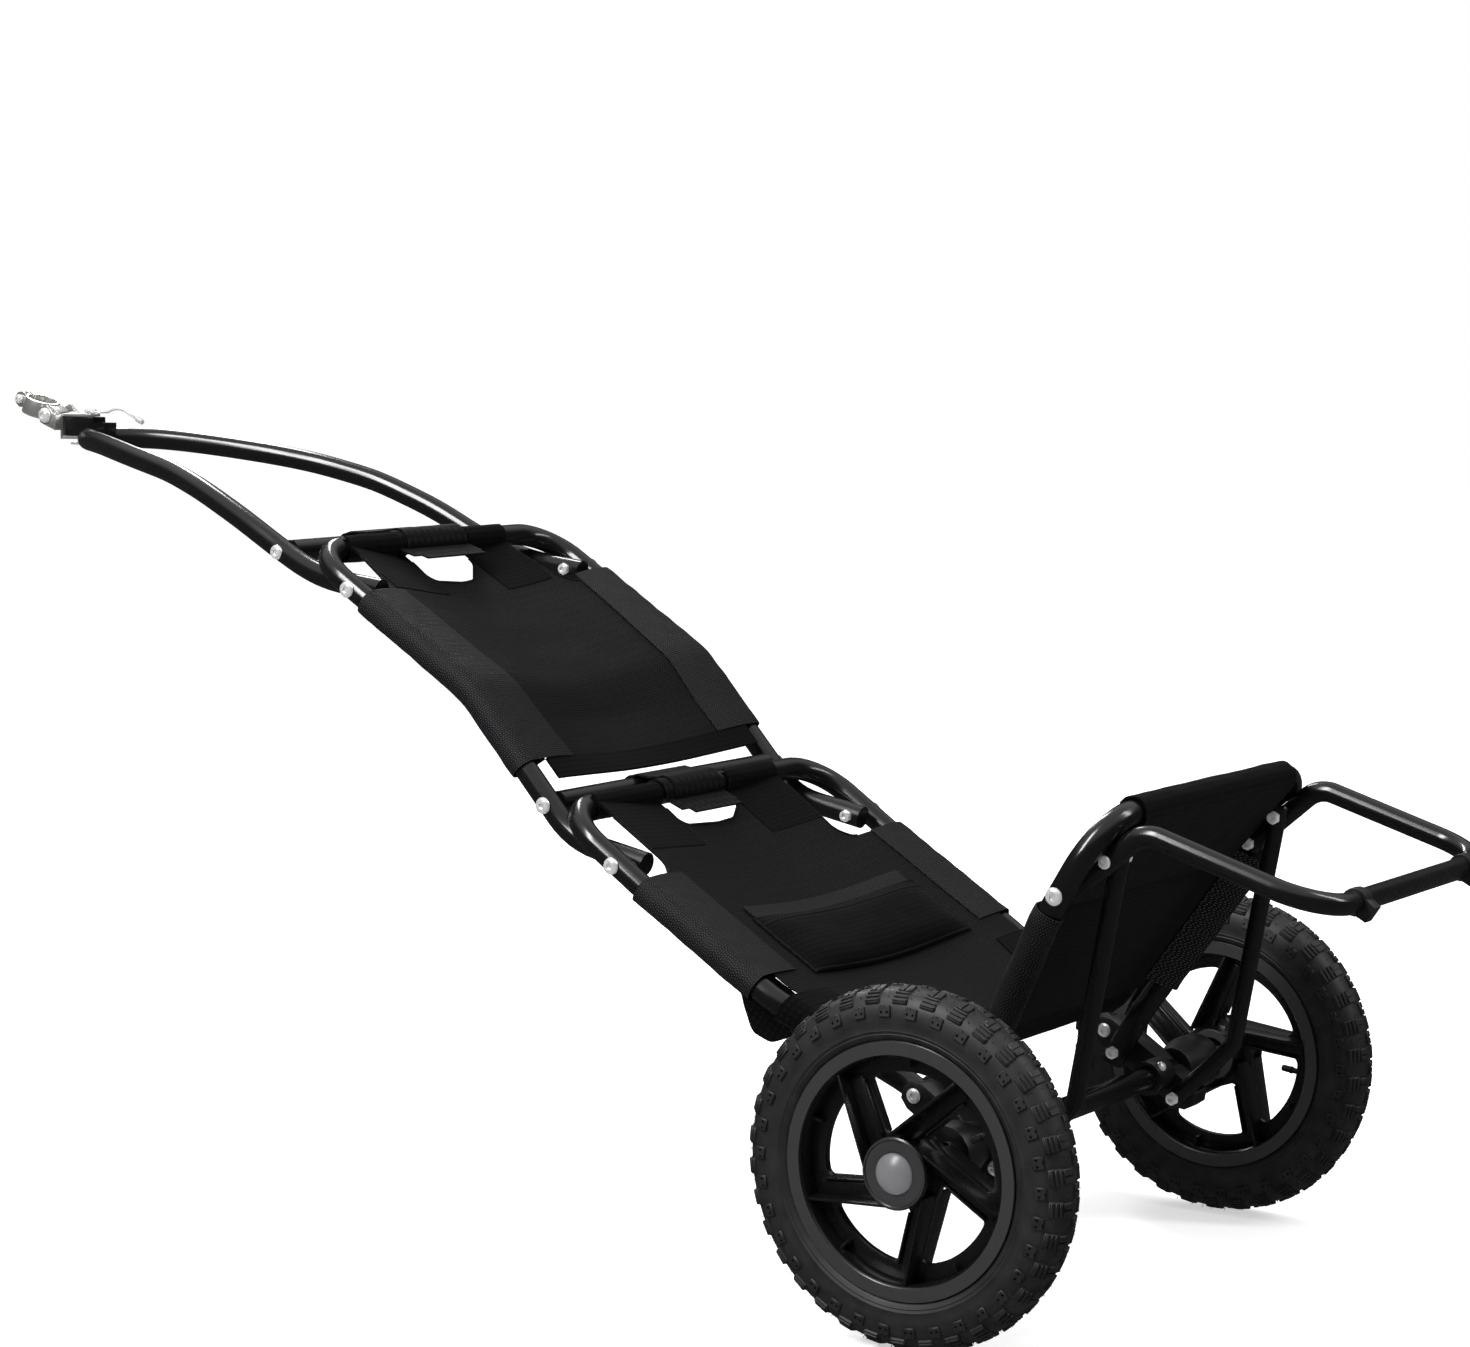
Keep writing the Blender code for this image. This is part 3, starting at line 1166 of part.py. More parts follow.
def lower_sheet():
    """The cloth of the lower frame and the sling that hangs from it to the seat."""
    sling_stations = [LOWER_PATCH_END + share for share in (0.25, 0.5, 0.75, 1.0)]

    def point_at(station):
        if station <= LOWER_PATCH_END:
            return LOWER_RAIL.at(station), LOWER_RAIL.rise(station)
        share = station - LOWER_PATCH_END
        ahead = sling_point(min(share + 0.02, 1.0)) - sling_point(share - 0.02)
        up = Vector((-ahead.z, 0.0, ahead.x)).normalized()
        return sling_point(share) - up * EDGE_RISE, up

    def half_at(station):
        if station <= LOWER_PATCH_END:
            return lower_half(station)
        return SLING_HALF

    def sag_at(station):
        if station > LOWER_PATCH_END:
            return 0.0
        return LOWER_SAG * min(1.0, (LOWER_PATCH_END - station) / 0.10)

    stations = station_list(0.004, POUCH_START, 0.06) + [POUCH_END, LOWER_PATCH_END] + sling_stations
    return cloth_sheet(stations, point_at, half_at, sag_at)


def build_lower_panel():
    panel = lower_sheet()
    down = LOWER_RAIL.slope(0.02)
    for side in (-1, 1):
        for start, end in ((LOWER_SLEEVE_START, LOWER_SLEEVE_END), (LOWER_PATCH_START, LOWER_PATCH_END)):
            rail = [off_centre(LOWER_RAIL.at(station), side * lower_half(station))
                    for station in station_list(start, end, SLEEVE_STEP)]
            join(panel, pipe(rail, SLEEVE_R))
        join(panel, cross_rod(LOWER_BAR, side * LOWER_SHOULDER_INNER, side * LOWER_SHOULDER_OUTER, SLEEVE_R))
        flap_y = lower_half(FLAP_AT) - FRAME_R - 2 * CLOTH
        middle = LOWER_RAIL.at(FLAP_AT)
        top = EDGE_RISE * 0.9
        bottom = -FLAP_DROP
        outline = [(-FLAP_HALF, top), (-FLAP_HALF, bottom + FLAP_ROUND), (-FLAP_HALF + FLAP_ROUND, bottom),
                   (FLAP_HALF - FLAP_ROUND, bottom), (FLAP_HALF, bottom + FLAP_ROUND), (FLAP_HALF, top)]
        slope = LOWER_RAIL.slope(FLAP_AT)
        flap = plate(outline, CLOTH, off_centre(middle, side * flap_y), slope, LOWER_RAIL.rise(FLAP_AT))
        join(panel, flap)
    outer = LOWER_HALF + CUT_PAST
    sleeve_edge = LOWER_SLEEVE_START - CLOTH / 2
    armhole = armhole_outline(LOWER_SHOULDER_OUTER, sleeve_edge, LOWER_ARMHOLE_ROUND)
    armhole += [(sleeve_edge, outer), (-CUT_PAST, outer)]
    neck = neck_outline(LOWER_SHOULDER_INNER, LOWER_NECK_DEPTH, LOWER_NECK_ROUND)
    for outline in (*both_sides(armhole), neck):
        cut(panel, across_cutter(outline, LOWER_BAR, down))
    cut(panel, pipe(lower_loop(), FRAME_R + SLACK))
    finish(panel, "lower_panel", "mesh_cloth", ROOT)


def build_pouch():
    """The flat pouch across the lower panel: a padded slab that lies just above the cloth."""
    def point_at(station):
        return LOWER_RAIL.at(station), LOWER_RAIL.rise(station)

    def sag_at(station):
        return LOWER_SAG * min(1.0, (LOWER_PATCH_END - station) / 0.10)

    lift = (POUCH_DEPTH + CLOTH) / 2 + POUCH_GAP
    ends = (POUCH_START, POUCH_END)
    pad = cloth_sheet(ends, point_at, lower_half, sag_at, POUCH_DEPTH, lift, POUCH_COLUMNS)
    finish(pad, "pouch", "black_cloth", ROOT)


def build_seat_sheet():
    def point_at(station):
        return SEAT_RAIL.at(station), SEAT_UP

    def half_at(station):
        return seat_half(station) if station > SEAT_SLEEVE_START - 0.001 else SLING_HALF

    def sag_at(station):
        return SEAT_SAG * min(1.0, max(0.0, (station - SEAT_SHEET_START) / 0.08))

    stations = [SEAT_SHEET_START] + station_list(SEAT_SLEEVE_START, SEAT_RUN - 0.004, 0.058)
    sheet = cloth_sheet(stations, point_at, half_at, sag_at)
    for side in (-1, 1):
        rail = [off_centre(SEAT_RAIL.at(station), side * seat_half(station))
                for station in (SEAT_SLEEVE_START, SEAT_TAPER_END, SEAT_SLEEVE_END)]
        join(sheet, pipe(rail, SLEEVE_R))
    bar_half = SEAT_HALF - SEAT_CORNER
    join(sheet, cross_rod(SEAT_BAR, -bar_half, bar_half, SLEEVE_R))
    outer = SEAT_HALF + CUT_PAST
    sleeve_edge = SEAT_SLEEVE_END + CLOTH / 2
    inner_edge = SEAT_HALF - SLEEVE_R - SEAT_CORNER_IN
    bar_edge = bar_half + 2 * CLOTH
    past = SEAT_RUN + CUT_PAST
    corner = [(sleeve_edge, outer), (sleeve_edge, inner_edge + 2 * CLOTH),
              (SEAT_RUN - SEAT_CORNER_START, inner_edge), (SEAT_RUN - SEAT_CORNER_END, bar_edge),
              (past, bar_edge), (past, outer)]
    for outline in both_sides(corner):
        cut(sheet, across_cutter(outline, SEAT_HINGE, SEAT_DIR))
    cut(sheet, pipe(seat_loop(), FRAME_R + SLACK))
    finish(sheet, "seat_sheet", "black_cloth", SEAT_EMPTY)


def strap(name, bar, other_bar, half, parent, tail):
    """A webbing loop round one bar that lies over the next bar, with a short tail behind."""
    reach = other_bar - bar
    ahead = reach.normalized()
    up = Vector((-ahead.z, 0.0, ahead.x))
    if up.z < 0:
        up = -up
    loop = cross_rod(bar, -half, half, SLEEVE_R)
    rise = SLEEVE_R - CLOTH / 2
    path = [bar + up * rise]
    for angle in (0, 25, 50):
        turn = math.radians(angle)
        path.append(other_bar + up * (rise * math.cos(turn)) + ahead * (rise * math.sin(turn)))
    work = bmesh.new()
    bmesh.ops.create_grid(work, x_segments=len(path) - 1, y_segments=1, size=1.0)
    for vertex in work.verts:
        base = path[round((vertex.co.x + 1.0) / 2 * (len(path) - 1))]
        vertex.co = off_centre(base, vertex.co.y * half)
    mesh = bpy.data.meshes.new("band")
    work.to_mesh(mesh)
    work.free()
    band = bpy.data.objects.new("band", mesh)
    TRAILER.objects.link(band)
    thicken = band.modifiers.new("web", "SOLIDIFY")
    thicken.thickness = CLOTH * 0.9
    thicken.offset = 0.0
    join(loop, as_shape(band))
    start = bar - ahead * (SLEEVE_R - CLOTH)
    edge = half * TAIL_SHARE
    join(loop, plate([(0.0, -edge), (tail, -edge), (tail, edge), (0.0, edge)], CLOTH * 1.5, start, -ahead,
                     Vector((0.0, 1.0, 0.0))))
    cut(loop, cross_rod(bar, -half - 0.01, half + 0.01, bore_radius()))
    finish(loop, name, "black_cloth", parent)


def build_clevis():
    """Two plates over and under the tongue block, joined in front by a web with two ears."""
    web_x = -BLOCK_FRONT - CLEVIS_WEB_GAP
    front = web_x - CLEVIS_PLATE
    top = BLOCK_TOP + 2 * GAP
    bottom = BLOCK_BOTTOM - 2 * GAP
    web_middle = front + CLEVIS_PLATE / 2
    outline = [(web_middle + PIN_X, -CLEVIS_SIDE)] + half_round(0.0, CLEVIS_SIDE, -90)
    outline.append((web_middle + PIN_X, CLEVIS_SIDE))
    body = block((front, -CLEVIS_SIDE - TOUCH, bottom - CLEVIS_PLATE - TOUCH),
                 (web_x, CLEVIS_SIDE + TOUCH, top + CLEVIS_PLATE + TOUCH))
    for height in (top + CLEVIS_PLATE / 2, bottom - CLEVIS_PLATE / 2):
        join(body, plate(outline, CLEVIS_PLATE, (-PIN_X, 0.0, height), (1.0, 0.0, 0.0), (0.0, 1.0, 0.0)))
    ear_outer = EAR_INNER_Y + EAR_PLATE
    low, high = BLOCK_BOTTOM + EAR_RISE, top + CLEVIS_PLATE / 2
    across = ear_outer + TOUCH
    join(body, block((front - 2 * TOUCH, -across, low), (web_x - 2 * TOUCH, across, high)))
    rear = web_middle - PITCH.x
    outline = [(rear, low + TOUCH - PITCH.z), (rear, high - TOUCH - PITCH.z)] + half_round(0.0, EAR_R, 90)
    for side in (-1, 1):
        middle = off_centre(PITCH, side * (EAR_INNER_Y + EAR_PLATE / 2))
        join(body, plate(outline, EAR_PLATE, middle, (1.0, 0.0, 0.0), (0.0, 0.0, 1.0)))
        drill(body, PITCH, side, EAR_INNER_Y - EAR_PLATE, ear_outer + EAR_PLATE)
    cut(body, rod((-PIN_X, 0.0, bottom - BLOCK_HALF), (-PIN_X, 0.0, top + BLOCK_HALF), PIN_R + 2 * GAP))
    finish(body, "clevis", "hitch_steel", YAW_EMPTY)


def build_hitch_pin():
    """The pin with its ring, the clip through its tip and the cord that ties it to the drawbar."""
    top = BLOCK_TOP + 2 * GAP + CLEVIS_PLATE + GAP
    tip = BLOCK_BOTTOM - PIN_TIP
    pin = turned([(0.0, top + PIN_HEAD_HEIGHT), (PIN_HEAD_R * 0.8, top + PIN_HEAD_HEIGHT),
                  (PIN_HEAD_R, top + PIN_HEAD_HEIGHT * 0.7), (PIN_HEAD_R, top), (PIN_R, top),
                  (PIN_R, tip + PIN_CHAMFER), (PIN_R - PIN_CHAMFER, tip), (0.0, tip)])
    aim(pin, (-PIN_X, 0.0, 0.0), (0.0, 0.0, 1.0))
    ring_z = top + RING_WIRE_R + GAP
    centre = Vector((-PIN_X + PIN_HEAD_R + RING_R - RING_WIRE_R / 2, 0.0, ring_z))
    ring = pipe([centre + Vector((math.cos(a), math.sin(a), 0.0)) * RING_R
                 for a in (2 * math.pi * index / 16 for index in range(16))], RING_WIRE_R, False, 6, True)
    join(pin, ring)
    clip_z = BLOCK_BOTTOM - 2 * GAP - CLEVIS_PLATE - CLIP_DROP
    reach = 2 * PIN_R
    cut(pin, rod((-PIN_X - reach, 0.0, clip_z), (-PIN_X + reach, 0.0, clip_z), CLIP_WIRE_R + 2 * GAP, 8))
    finish(pin, "hitch_pin", "bright_steel", YAW_EMPTY)
    path = [(CLIP_TAIL, 0.0)] + [(-CLIP_REACH - ahead, across) for ahead, across in CLIP_EYE]
    path += [(-CLIP_WAIST, CLIP_OFFSET + CLIP_FLARE), (-PIN_R + CLIP_WIRE_R, CLIP_OFFSET)]
    path.append((CLIP_WIRE_R, CLIP_OFFSET + CLIP_FLARE))
    wire = pipe([Vector((x - PIN_X, y, clip_z)) for x, y in path], CLIP_WIRE_R, True, 8)
    finish(wire, "r_clip", "bright_steel", YAW_EMPTY)
    eye = centre + Vector((RING_R + RING_WIRE_R + GAP, 0.0, 0.0))
    route = [eye + Vector(offset) for offset in LANYARD_POINTS]
    end = route[-1]
    cord = pipe(fillet(route, [LANYARD_BEND] * 3), LANYARD_R, True, 8)
    ahead = (end - route[-2]).normalized()
    join(cord, rod(end - ahead * LANYARD_R, end + ahead * CRIMP_LENGTH, CRIMP_R, 8))
    finish(cord, "pin_lanyard", "wire", YAW_EMPTY)


def build_clamp():
    """The band that closes round the seat post, with its rear lug and its front ears."""
    half = BAND_HEIGHT / 2
    band = turned([(0.0, half), (BAND_OUTER_R, half), (BAND_OUTER_R, -half), (0.0, -half)], 24)
    aim(band, CLAMP, POST_AXIS)
    ear_gap = BAND_SLIT / 2
    for side in (-1, 1):
        ear = plate(stadium(BAND_INNER_R, CLAMP_EAR_REACH, CLAMP_EAR_R), CLAMP_EAR,
                    off_centre(CLAMP, side * (ear_gap + CLAMP_EAR / 2)), POST_FORWARD, POST_AXIS)
        join(band, ear)
    lug_dir = (CLAMP - PITCH).normalized()
    lug_up = Vector((-lug_dir.z, 0.0, lug_dir.x))
    lug = plate(stadium(-LUG_R, (CLAMP - PITCH).length, LUG_R), 2 * LUG_HALF, PITCH, lug_dir, -lug_up)
    join(band, lug)
    cut(band, rod(CLAMP - POST_AXIS * BAND_HEIGHT, CLAMP + POST_AXIS * BAND_HEIGHT, BAND_INNER_R, 24))
    far = CLAMP_EAR_REACH + BAND_SLIT
    outline = [(BAND_SLIT, -BAND_HEIGHT), (far, -BAND_HEIGHT), (far, BAND_HEIGHT), (BAND_SLIT, BAND_HEIGHT)]
    slit = plate(outline, BAND_SLIT, CLAMP, POST_FORWARD, POST_AXIS)
    cut(band, slit)
    screw_at = CLAMP + POST_FORWARD * CLAMP_SCREW_REACH
    drill(band, screw_at, 1, -BAND_OUTER_R, BAND_OUTER_R, CLAMP_SCREW_R + GAP)
    drill(band, PITCH, 1, -BAND_OUTER_R, BAND_OUTER_R)
    finish(band, "seatpost_clamp", "hitch_steel", PITCH_EMPTY)
    ear_out = ear_gap + CLAMP_EAR + GAP
    head_out = ear_out + CLAMP_HEAD_HEIGHT
    screw = turned([(0.0, head_out), (CLAMP_HEAD_R, head_out), (CLAMP_HEAD_R, ear_out),
                    (CLAMP_SCREW_R, ear_out), (CLAMP_SCREW_R, -ear_out), (CLAMP_HEAD_R, -ear_out),
                    (CLAMP_HEAD_R, -head_out), (0.0, -head_out)])
    finish(aim(screw, screw_at, (0.0, -1.0, 0.0)), "clamp_screw", "bright_steel", PITCH_EMPTY)
    outer = EAR_INNER_Y + EAR_PLATE + GAP
    head = outer + BOLT_HEAD_HEIGHT
    nut = -outer - NUT_HEIGHT
    bolt = turned([(0.0, head), (HEAD_R * 0.77, head), (HEAD_R, outer + BOLT_HEAD_HEIGHT * 0.36),
                   (HEAD_R, outer), (SCREW_R, outer), (SCREW_R, -outer), (NUT_R, -outer), (NUT_R, nut),
                   (0.0, nut)])
    finish(aim(bolt, PITCH, (0.0, -1.0, 0.0)), "pitch_screw", "bright_steel", YAW_EMPTY)


build_lower_frame()
build_axle()
for wheel_side in (-1, 1):
    build_wheel(wheel_side)
build_upper_frame()
build_drawbar()
build_drawbar_cross()
build_seat()
build_stand()
build_struts()
build_upper_panel()
build_lower_panel()
build_pouch()
build_seat_sheet()
strap("frame_strap", LOWER_BAR, CROSS_TUBE, STRAP_HALF, ROOT, STRAP_TAIL)
strap("drawbar_strap", UPPER_BAR, drawbar_cross_centre(), ROLL_HALF, UPPER_EMPTY, ROLL_TAIL)
build_clevis()
build_hitch_pin()
build_clamp()
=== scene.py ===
import json
import math

import bpy
from mathutils import Matrix, Vector, noise

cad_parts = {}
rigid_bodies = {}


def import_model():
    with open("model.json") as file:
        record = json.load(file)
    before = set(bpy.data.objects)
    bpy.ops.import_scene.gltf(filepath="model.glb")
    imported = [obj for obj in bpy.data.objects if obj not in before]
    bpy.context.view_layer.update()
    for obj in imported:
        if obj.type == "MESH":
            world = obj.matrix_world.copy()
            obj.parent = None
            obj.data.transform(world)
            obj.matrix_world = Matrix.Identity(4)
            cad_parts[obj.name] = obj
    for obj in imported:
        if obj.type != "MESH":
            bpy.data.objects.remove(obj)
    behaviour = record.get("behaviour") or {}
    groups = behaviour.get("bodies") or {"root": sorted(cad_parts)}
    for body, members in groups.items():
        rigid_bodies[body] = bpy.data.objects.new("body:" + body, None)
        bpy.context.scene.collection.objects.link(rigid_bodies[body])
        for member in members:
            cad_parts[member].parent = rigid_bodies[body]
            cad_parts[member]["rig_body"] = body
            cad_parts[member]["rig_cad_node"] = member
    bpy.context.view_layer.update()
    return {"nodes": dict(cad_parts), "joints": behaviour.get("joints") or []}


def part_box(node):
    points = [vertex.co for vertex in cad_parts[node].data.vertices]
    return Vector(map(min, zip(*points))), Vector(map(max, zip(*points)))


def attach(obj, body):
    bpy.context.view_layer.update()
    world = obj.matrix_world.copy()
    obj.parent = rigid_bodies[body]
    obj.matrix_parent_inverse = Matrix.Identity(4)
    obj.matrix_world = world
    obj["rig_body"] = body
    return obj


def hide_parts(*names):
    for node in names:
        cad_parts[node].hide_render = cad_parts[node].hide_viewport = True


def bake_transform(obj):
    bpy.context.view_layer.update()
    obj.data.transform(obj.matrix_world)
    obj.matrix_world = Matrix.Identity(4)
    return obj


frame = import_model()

sides = {"left": -1, "right": 1}


# Places read from the frame
def pivot(joint):
    return Vector(next(j["pos_m"] for j in frame["joints"] if j["name"] == joint))


def nodeCentre(node):
    low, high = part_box(node)
    return (low + high) / 2


def inPlane(p, y=0.0):
    return Vector((p.x, y, p.z))


def ray(degrees):
    return Vector((math.cos(math.radians(degrees)), 0.0, math.sin(math.radians(degrees))))


axle = inPlane(pivot("wheel_spin_left"))
frameHinge = pivot("upper_frame_fold")
drawbarPivot = pivot("drawbar_fold")
seatHinge = pivot("seat_fold")
standHinge = pivot("stand_fold")
strutFoot = pivot("strut_fold")
hitchPinTop = pivot("hitch_yaw")
hitchPitch = pivot("hitch_pitch")
frameRivet = inPlane(nodeCentre("frame_rivet_left"))
standPin = inPlane(nodeCentre("stand_pin_left"))
wheelY = pivot("wheel_spin_right").y


# Small modelling helpers
def deselect():
    bpy.ops.object.select_all(action="DESELECT")


def activate(obj):
    deselect()
    obj.select_set(True)
    bpy.context.view_layer.objects.active = obj


def cleanMesh(obj, distance=0.000002, outward=True):
    activate(obj)
    bpy.ops.object.mode_set(mode="EDIT")
    bpy.ops.mesh.select_all(action="SELECT")
    bpy.ops.mesh.remove_doubles(threshold=distance)
    if outward:
        bpy.ops.mesh.normals_make_consistent(inside=False)
    bpy.ops.object.mode_set(mode="OBJECT")
    return obj


def smooth(obj, degrees=35):
    activate(obj)
    bpy.ops.object.shade_smooth_by_angle(angle=math.radians(degrees))
    return obj


def applyPlace(obj):
    activate(obj)
    bpy.ops.object.transform_apply(location=True, rotation=True, scale=True)
    return obj


def addModifier(obj, kind, **settings):
    activate(obj)
    modifier = obj.modifiers.new(kind.lower(), kind)
    for key, value in settings.items():
        setattr(modifier, key, value)
    bpy.ops.object.modifier_apply(modifier=modifier.name)
    return obj


def bevelEdges(obj, width, segments=2, degrees=30):
    return addModifier(obj, "BEVEL", width=width, segments=segments, limit_method="ANGLE",
                       angle_limit=math.radians(degrees))


def cutAway(obj, cutter):
    addModifier(obj, "BOOLEAN", object=cutter, operation="DIFFERENCE", solver="EXACT")
    bpy.data.objects.remove(cutter)
    return obj


def joinAll(name, pieces):
    deselect()
    for piece in pieces:
        piece.select_set(True)
    bpy.context.view_layer.objects.active = pieces[0]
    if len(pieces) > 1:
        bpy.ops.object.join()
    pieces[0].name = name
    return pieces[0]


def turnTo(axis):
    return Vector(axis).to_track_quat("Z", "Y")


def cylinder(centre, axis, radius, length, vertices=32, top=None):
    deselect()
    if top is None:
        bpy.ops.mesh.primitive_cylinder_add(vertices=vertices, radius=radius, depth=length)
    else:
        bpy.ops.mesh.primitive_cone_add(vertices=vertices, radius1=radius, radius2=top, depth=length)
    obj = bpy.context.object
    obj.rotation_mode = "QUATERNION"
    obj.rotation_quaternion = turnTo(axis)
    obj.location = centre
    return applyPlace(obj)


def slab(low, high, edge=0.0, segments=2):
    deselect()
    low, high = Vector(low), Vector(high)
    bpy.ops.mesh.primitive_cube_add(size=1.0, location=(low + high) / 2)
    obj = bpy.context.object
    obj.scale = high - low
    applyPlace(obj)
    if edge:
        bevelEdges(obj, edge, segments)
    return obj


def turned(profile, centre, axis, steps=48):
    mesh = bpy.data.meshes.new("profile")
    edges = [(i, i + 1) for i in range(len(profile) - 1)]
    mesh.from_pydata([(r, 0.0, h) for r, h in profile], edges, [])
    obj = bpy.data.objects.new("turned", mesh)
    bpy.context.scene.collection.objects.link(obj)
    addModifier(obj, "SCREW", angle=2 * math.pi, steps=steps, render_steps=steps,
                use_merge_vertices=True, merge_threshold=0.00001)
    cleanMesh(obj, 0.000005)
    obj.data.transform(turnTo(axis).to_matrix().to_4x4())
    obj.data.transform(Matrix.Translation(centre))
    return smooth(obj)


def roundPath(points, radii, step=6):
    rounded = [points[0]]
    for before, corner, after, radius in zip(points, points[1:], points[2:], radii):
        inward = (before - corner).normalized()
        outward = (after - corner).normalized()
        turn = math.pi - inward.angle(outward)
        if turn < 0.02 or radius <= 0.0:
            rounded.append(corner)
            continue
        reach = radius * math.tan(turn / 2)
        centre = corner + (inward + outward).normalized() * (radius / math.cos(turn / 2))
        start = corner + inward * reach - centre
        axis = start.cross(corner + outward * reach - centre).normalized()
        count = max(2, round(math.degrees(turn) / step))
        for index in range(count + 1):
            rounded.append(centre + Matrix.Rotation(turn * index / count, 3, axis) @ start)
    rounded.append(points[-1])
    return rounded


def tubeAlong(path, radius, ring=10, closed=False):
    deselect()
    bpy.ops.curve.primitive_nurbs_path_add(location=(0.0, 0.0, 0.0))
    obj = bpy.context.object
    obj.data.splines.clear()
    spline = obj.data.splines.new("POLY")
    spline.points.add(len(path) - 1)
    for point, place in zip(spline.points, path):
        point.co = (*place, 1.0)
    spline.use_cyclic_u = closed
    obj.data.bevel_depth = radius
    obj.data.bevel_resolution = ring
    obj.data.use_fill_caps = not closed
    activate(obj)
    bpy.ops.object.convert(target="MESH")
    return smooth(cleanMesh(bpy.context.object), 40)


def prism(outline, depth=1.0):
    mesh = bpy.data.meshes.new("outline")
    count = len(outline)
    mesh.from_pydata([(x, y, -depth) for x, y in outline], [], [list(range(count))])
    obj = bpy.data.objects.new("prism", mesh)
    bpy.context.scene.collection.objects.link(obj)
    addModifier(obj, "SOLIDIFY", thickness=2 * depth, offset=1.0)
    cleanMesh(obj)
    low = min(v.co.z for v in obj.data.vertices)
    high = max(v.co.z for v in obj.data.vertices)
    obj.data.transform(Matrix.Translation((0, 0, -(low + high) / 2)))
    return obj


def finishPiece(obj, name, body, material, replaced=()):
    obj.name = name
    obj.data.materials.clear()
    obj.data.materials.append(material)
    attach(obj, body)
    if replaced:
        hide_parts(*replaced)
    return obj


def camel(node):
    first, *others = node.split("_")
    return first + "".join(word.title() for word in others)


def dressNode(obj, node, body, material):
    return finishPiece(obj, camel(node), body, material, [node])


def nodeCopy(node, edge=0.0, degrees=30):
    obj = frame["nodes"][node].copy()
    obj.data = frame["nodes"][node].data.copy()
    obj.parent = None
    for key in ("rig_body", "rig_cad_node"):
        if key in obj:
            del obj[key]
    bpy.context.scene.collection.objects.link(obj)
    cleanMesh(obj, 0.00001, outward=False)
    addModifier(obj, "DECIMATE", decimate_type="DISSOLVE", angle_limit=math.radians(1.0))
    if edge:
        bevelEdges(obj, edge, 2, degrees)
    return smooth(obj, degrees)


# Materials
def hexColour(code):
    values = [int(code[i:i + 2], 16) / 255 for i in (1, 3, 5)]
    return (*[v / 12.92 if v <= 0.04045 else ((v + 0.055) / 1.055) ** 2.4 for v in values], 1.0)


def addNode(tree, kind, settings=None, links=None):
    node = tree.nodes.new("ShaderNode" + kind)
    for key, value in (settings or {}).items():
        if isinstance(key, int) or key in node.inputs:
            node.inputs[key].default_value = value
        else:
            setattr(node, key, value)
    for socket, source in (links or {}).items():
        tree.links.new(source, node.inputs[socket])
    return node


def startMaterial(name, colour, roughness, metallic=0.0, **sockets):
    material = bpy.data.materials.new(name)
    material.use_nodes = True
    shader = material.node_tree.nodes["Principled BSDF"]
    shader.inputs["Base Color"].default_value = hexColour(colour)
    shader.inputs["Roughness"].default_value = roughness
    shader.inputs["Metallic"].default_value = metallic
    for key, value in sockets.items():
        shader.inputs[key.replace("_", " ")].default_value = value
    return material, material.node_tree, shader


def grainOn(tree, shader, grainMm, depth, strength, roughness, stretch=(1.0, 1.0, 1.0)):
    place = addNode(tree, "TexCoord").outputs["Object"]
    scale = addNode(tree, "Mapping", {"Scale": stretch}, {"Vector": place})
    grain = addNode(tree, "TexNoise", {"Scale": 1000.0 / grainMm, "Detail": 3.0},
                    {"Vector": scale.outputs["Vector"]})
    bump = addNode(tree, "Bump", {"Strength": strength, "Distance": depth},
                   {"Height": grain.outputs["Fac"]})
    tree.links.new(bump.outputs["Normal"], shader.inputs["Normal"])
    broad = addNode(tree, "TexNoise", {"Scale": 22.0, "Detail": 2.0}, {"Vector": place})
    spread = addNode(tree, "MapRange", {"To Min": roughness[0], "To Max": roughness[1]},
                     {"Value": broad.outputs["Fac"]})
    tree.links.new(spread.outputs["Result"], shader.inputs["Roughness"])
    return place


def grained(name, colour, metallic, grain, roughness, start, stretch=(1.0, 1.0, 1.0), **sockets):
    material, tree, shader = startMaterial(name, colour, start, metallic, **sockets)
    grainOn(tree, shader, *grain, roughness, stretch)
    return material


def moulded(name, colour, low, high):
    # injection moulded nylon: fine spark grain, edges catch a soft light
    return grained(name, colour, 0.0, (0.8, 0.00008, 0.25), (low, high), low, IOR=1.5)


def tyreRubber():
    # vulcanised rubber: dark grey, dull, with a dry bloom on the high spots
    material, tree, shader = startMaterial("vulcanisedRubber", "#1a1a1b", 0.6, IOR=1.52,
                                           Specular_IOR_Level=0.4)
    place = grainOn(tree, shader, 1.4, 0.0003, 0.4, (0.46, 0.66))
    cloud = addNode(tree, "TexNoise", {"Scale": 60.0, "Detail": 4.0}, {"Vector": place})
    tint = addNode(tree, "ValToRGB", None, {"Fac": cloud.outputs["Fac"]})
    for stop, position, colour in zip(tint.color_ramp.elements, (0.35, 0.7), ("#101011", "#1a1a1b")):
        stop.position = position
        stop.color = hexColour(colour)
    tree.links.new(tint.outputs["Color"], shader.inputs["Base Color"])
    return material


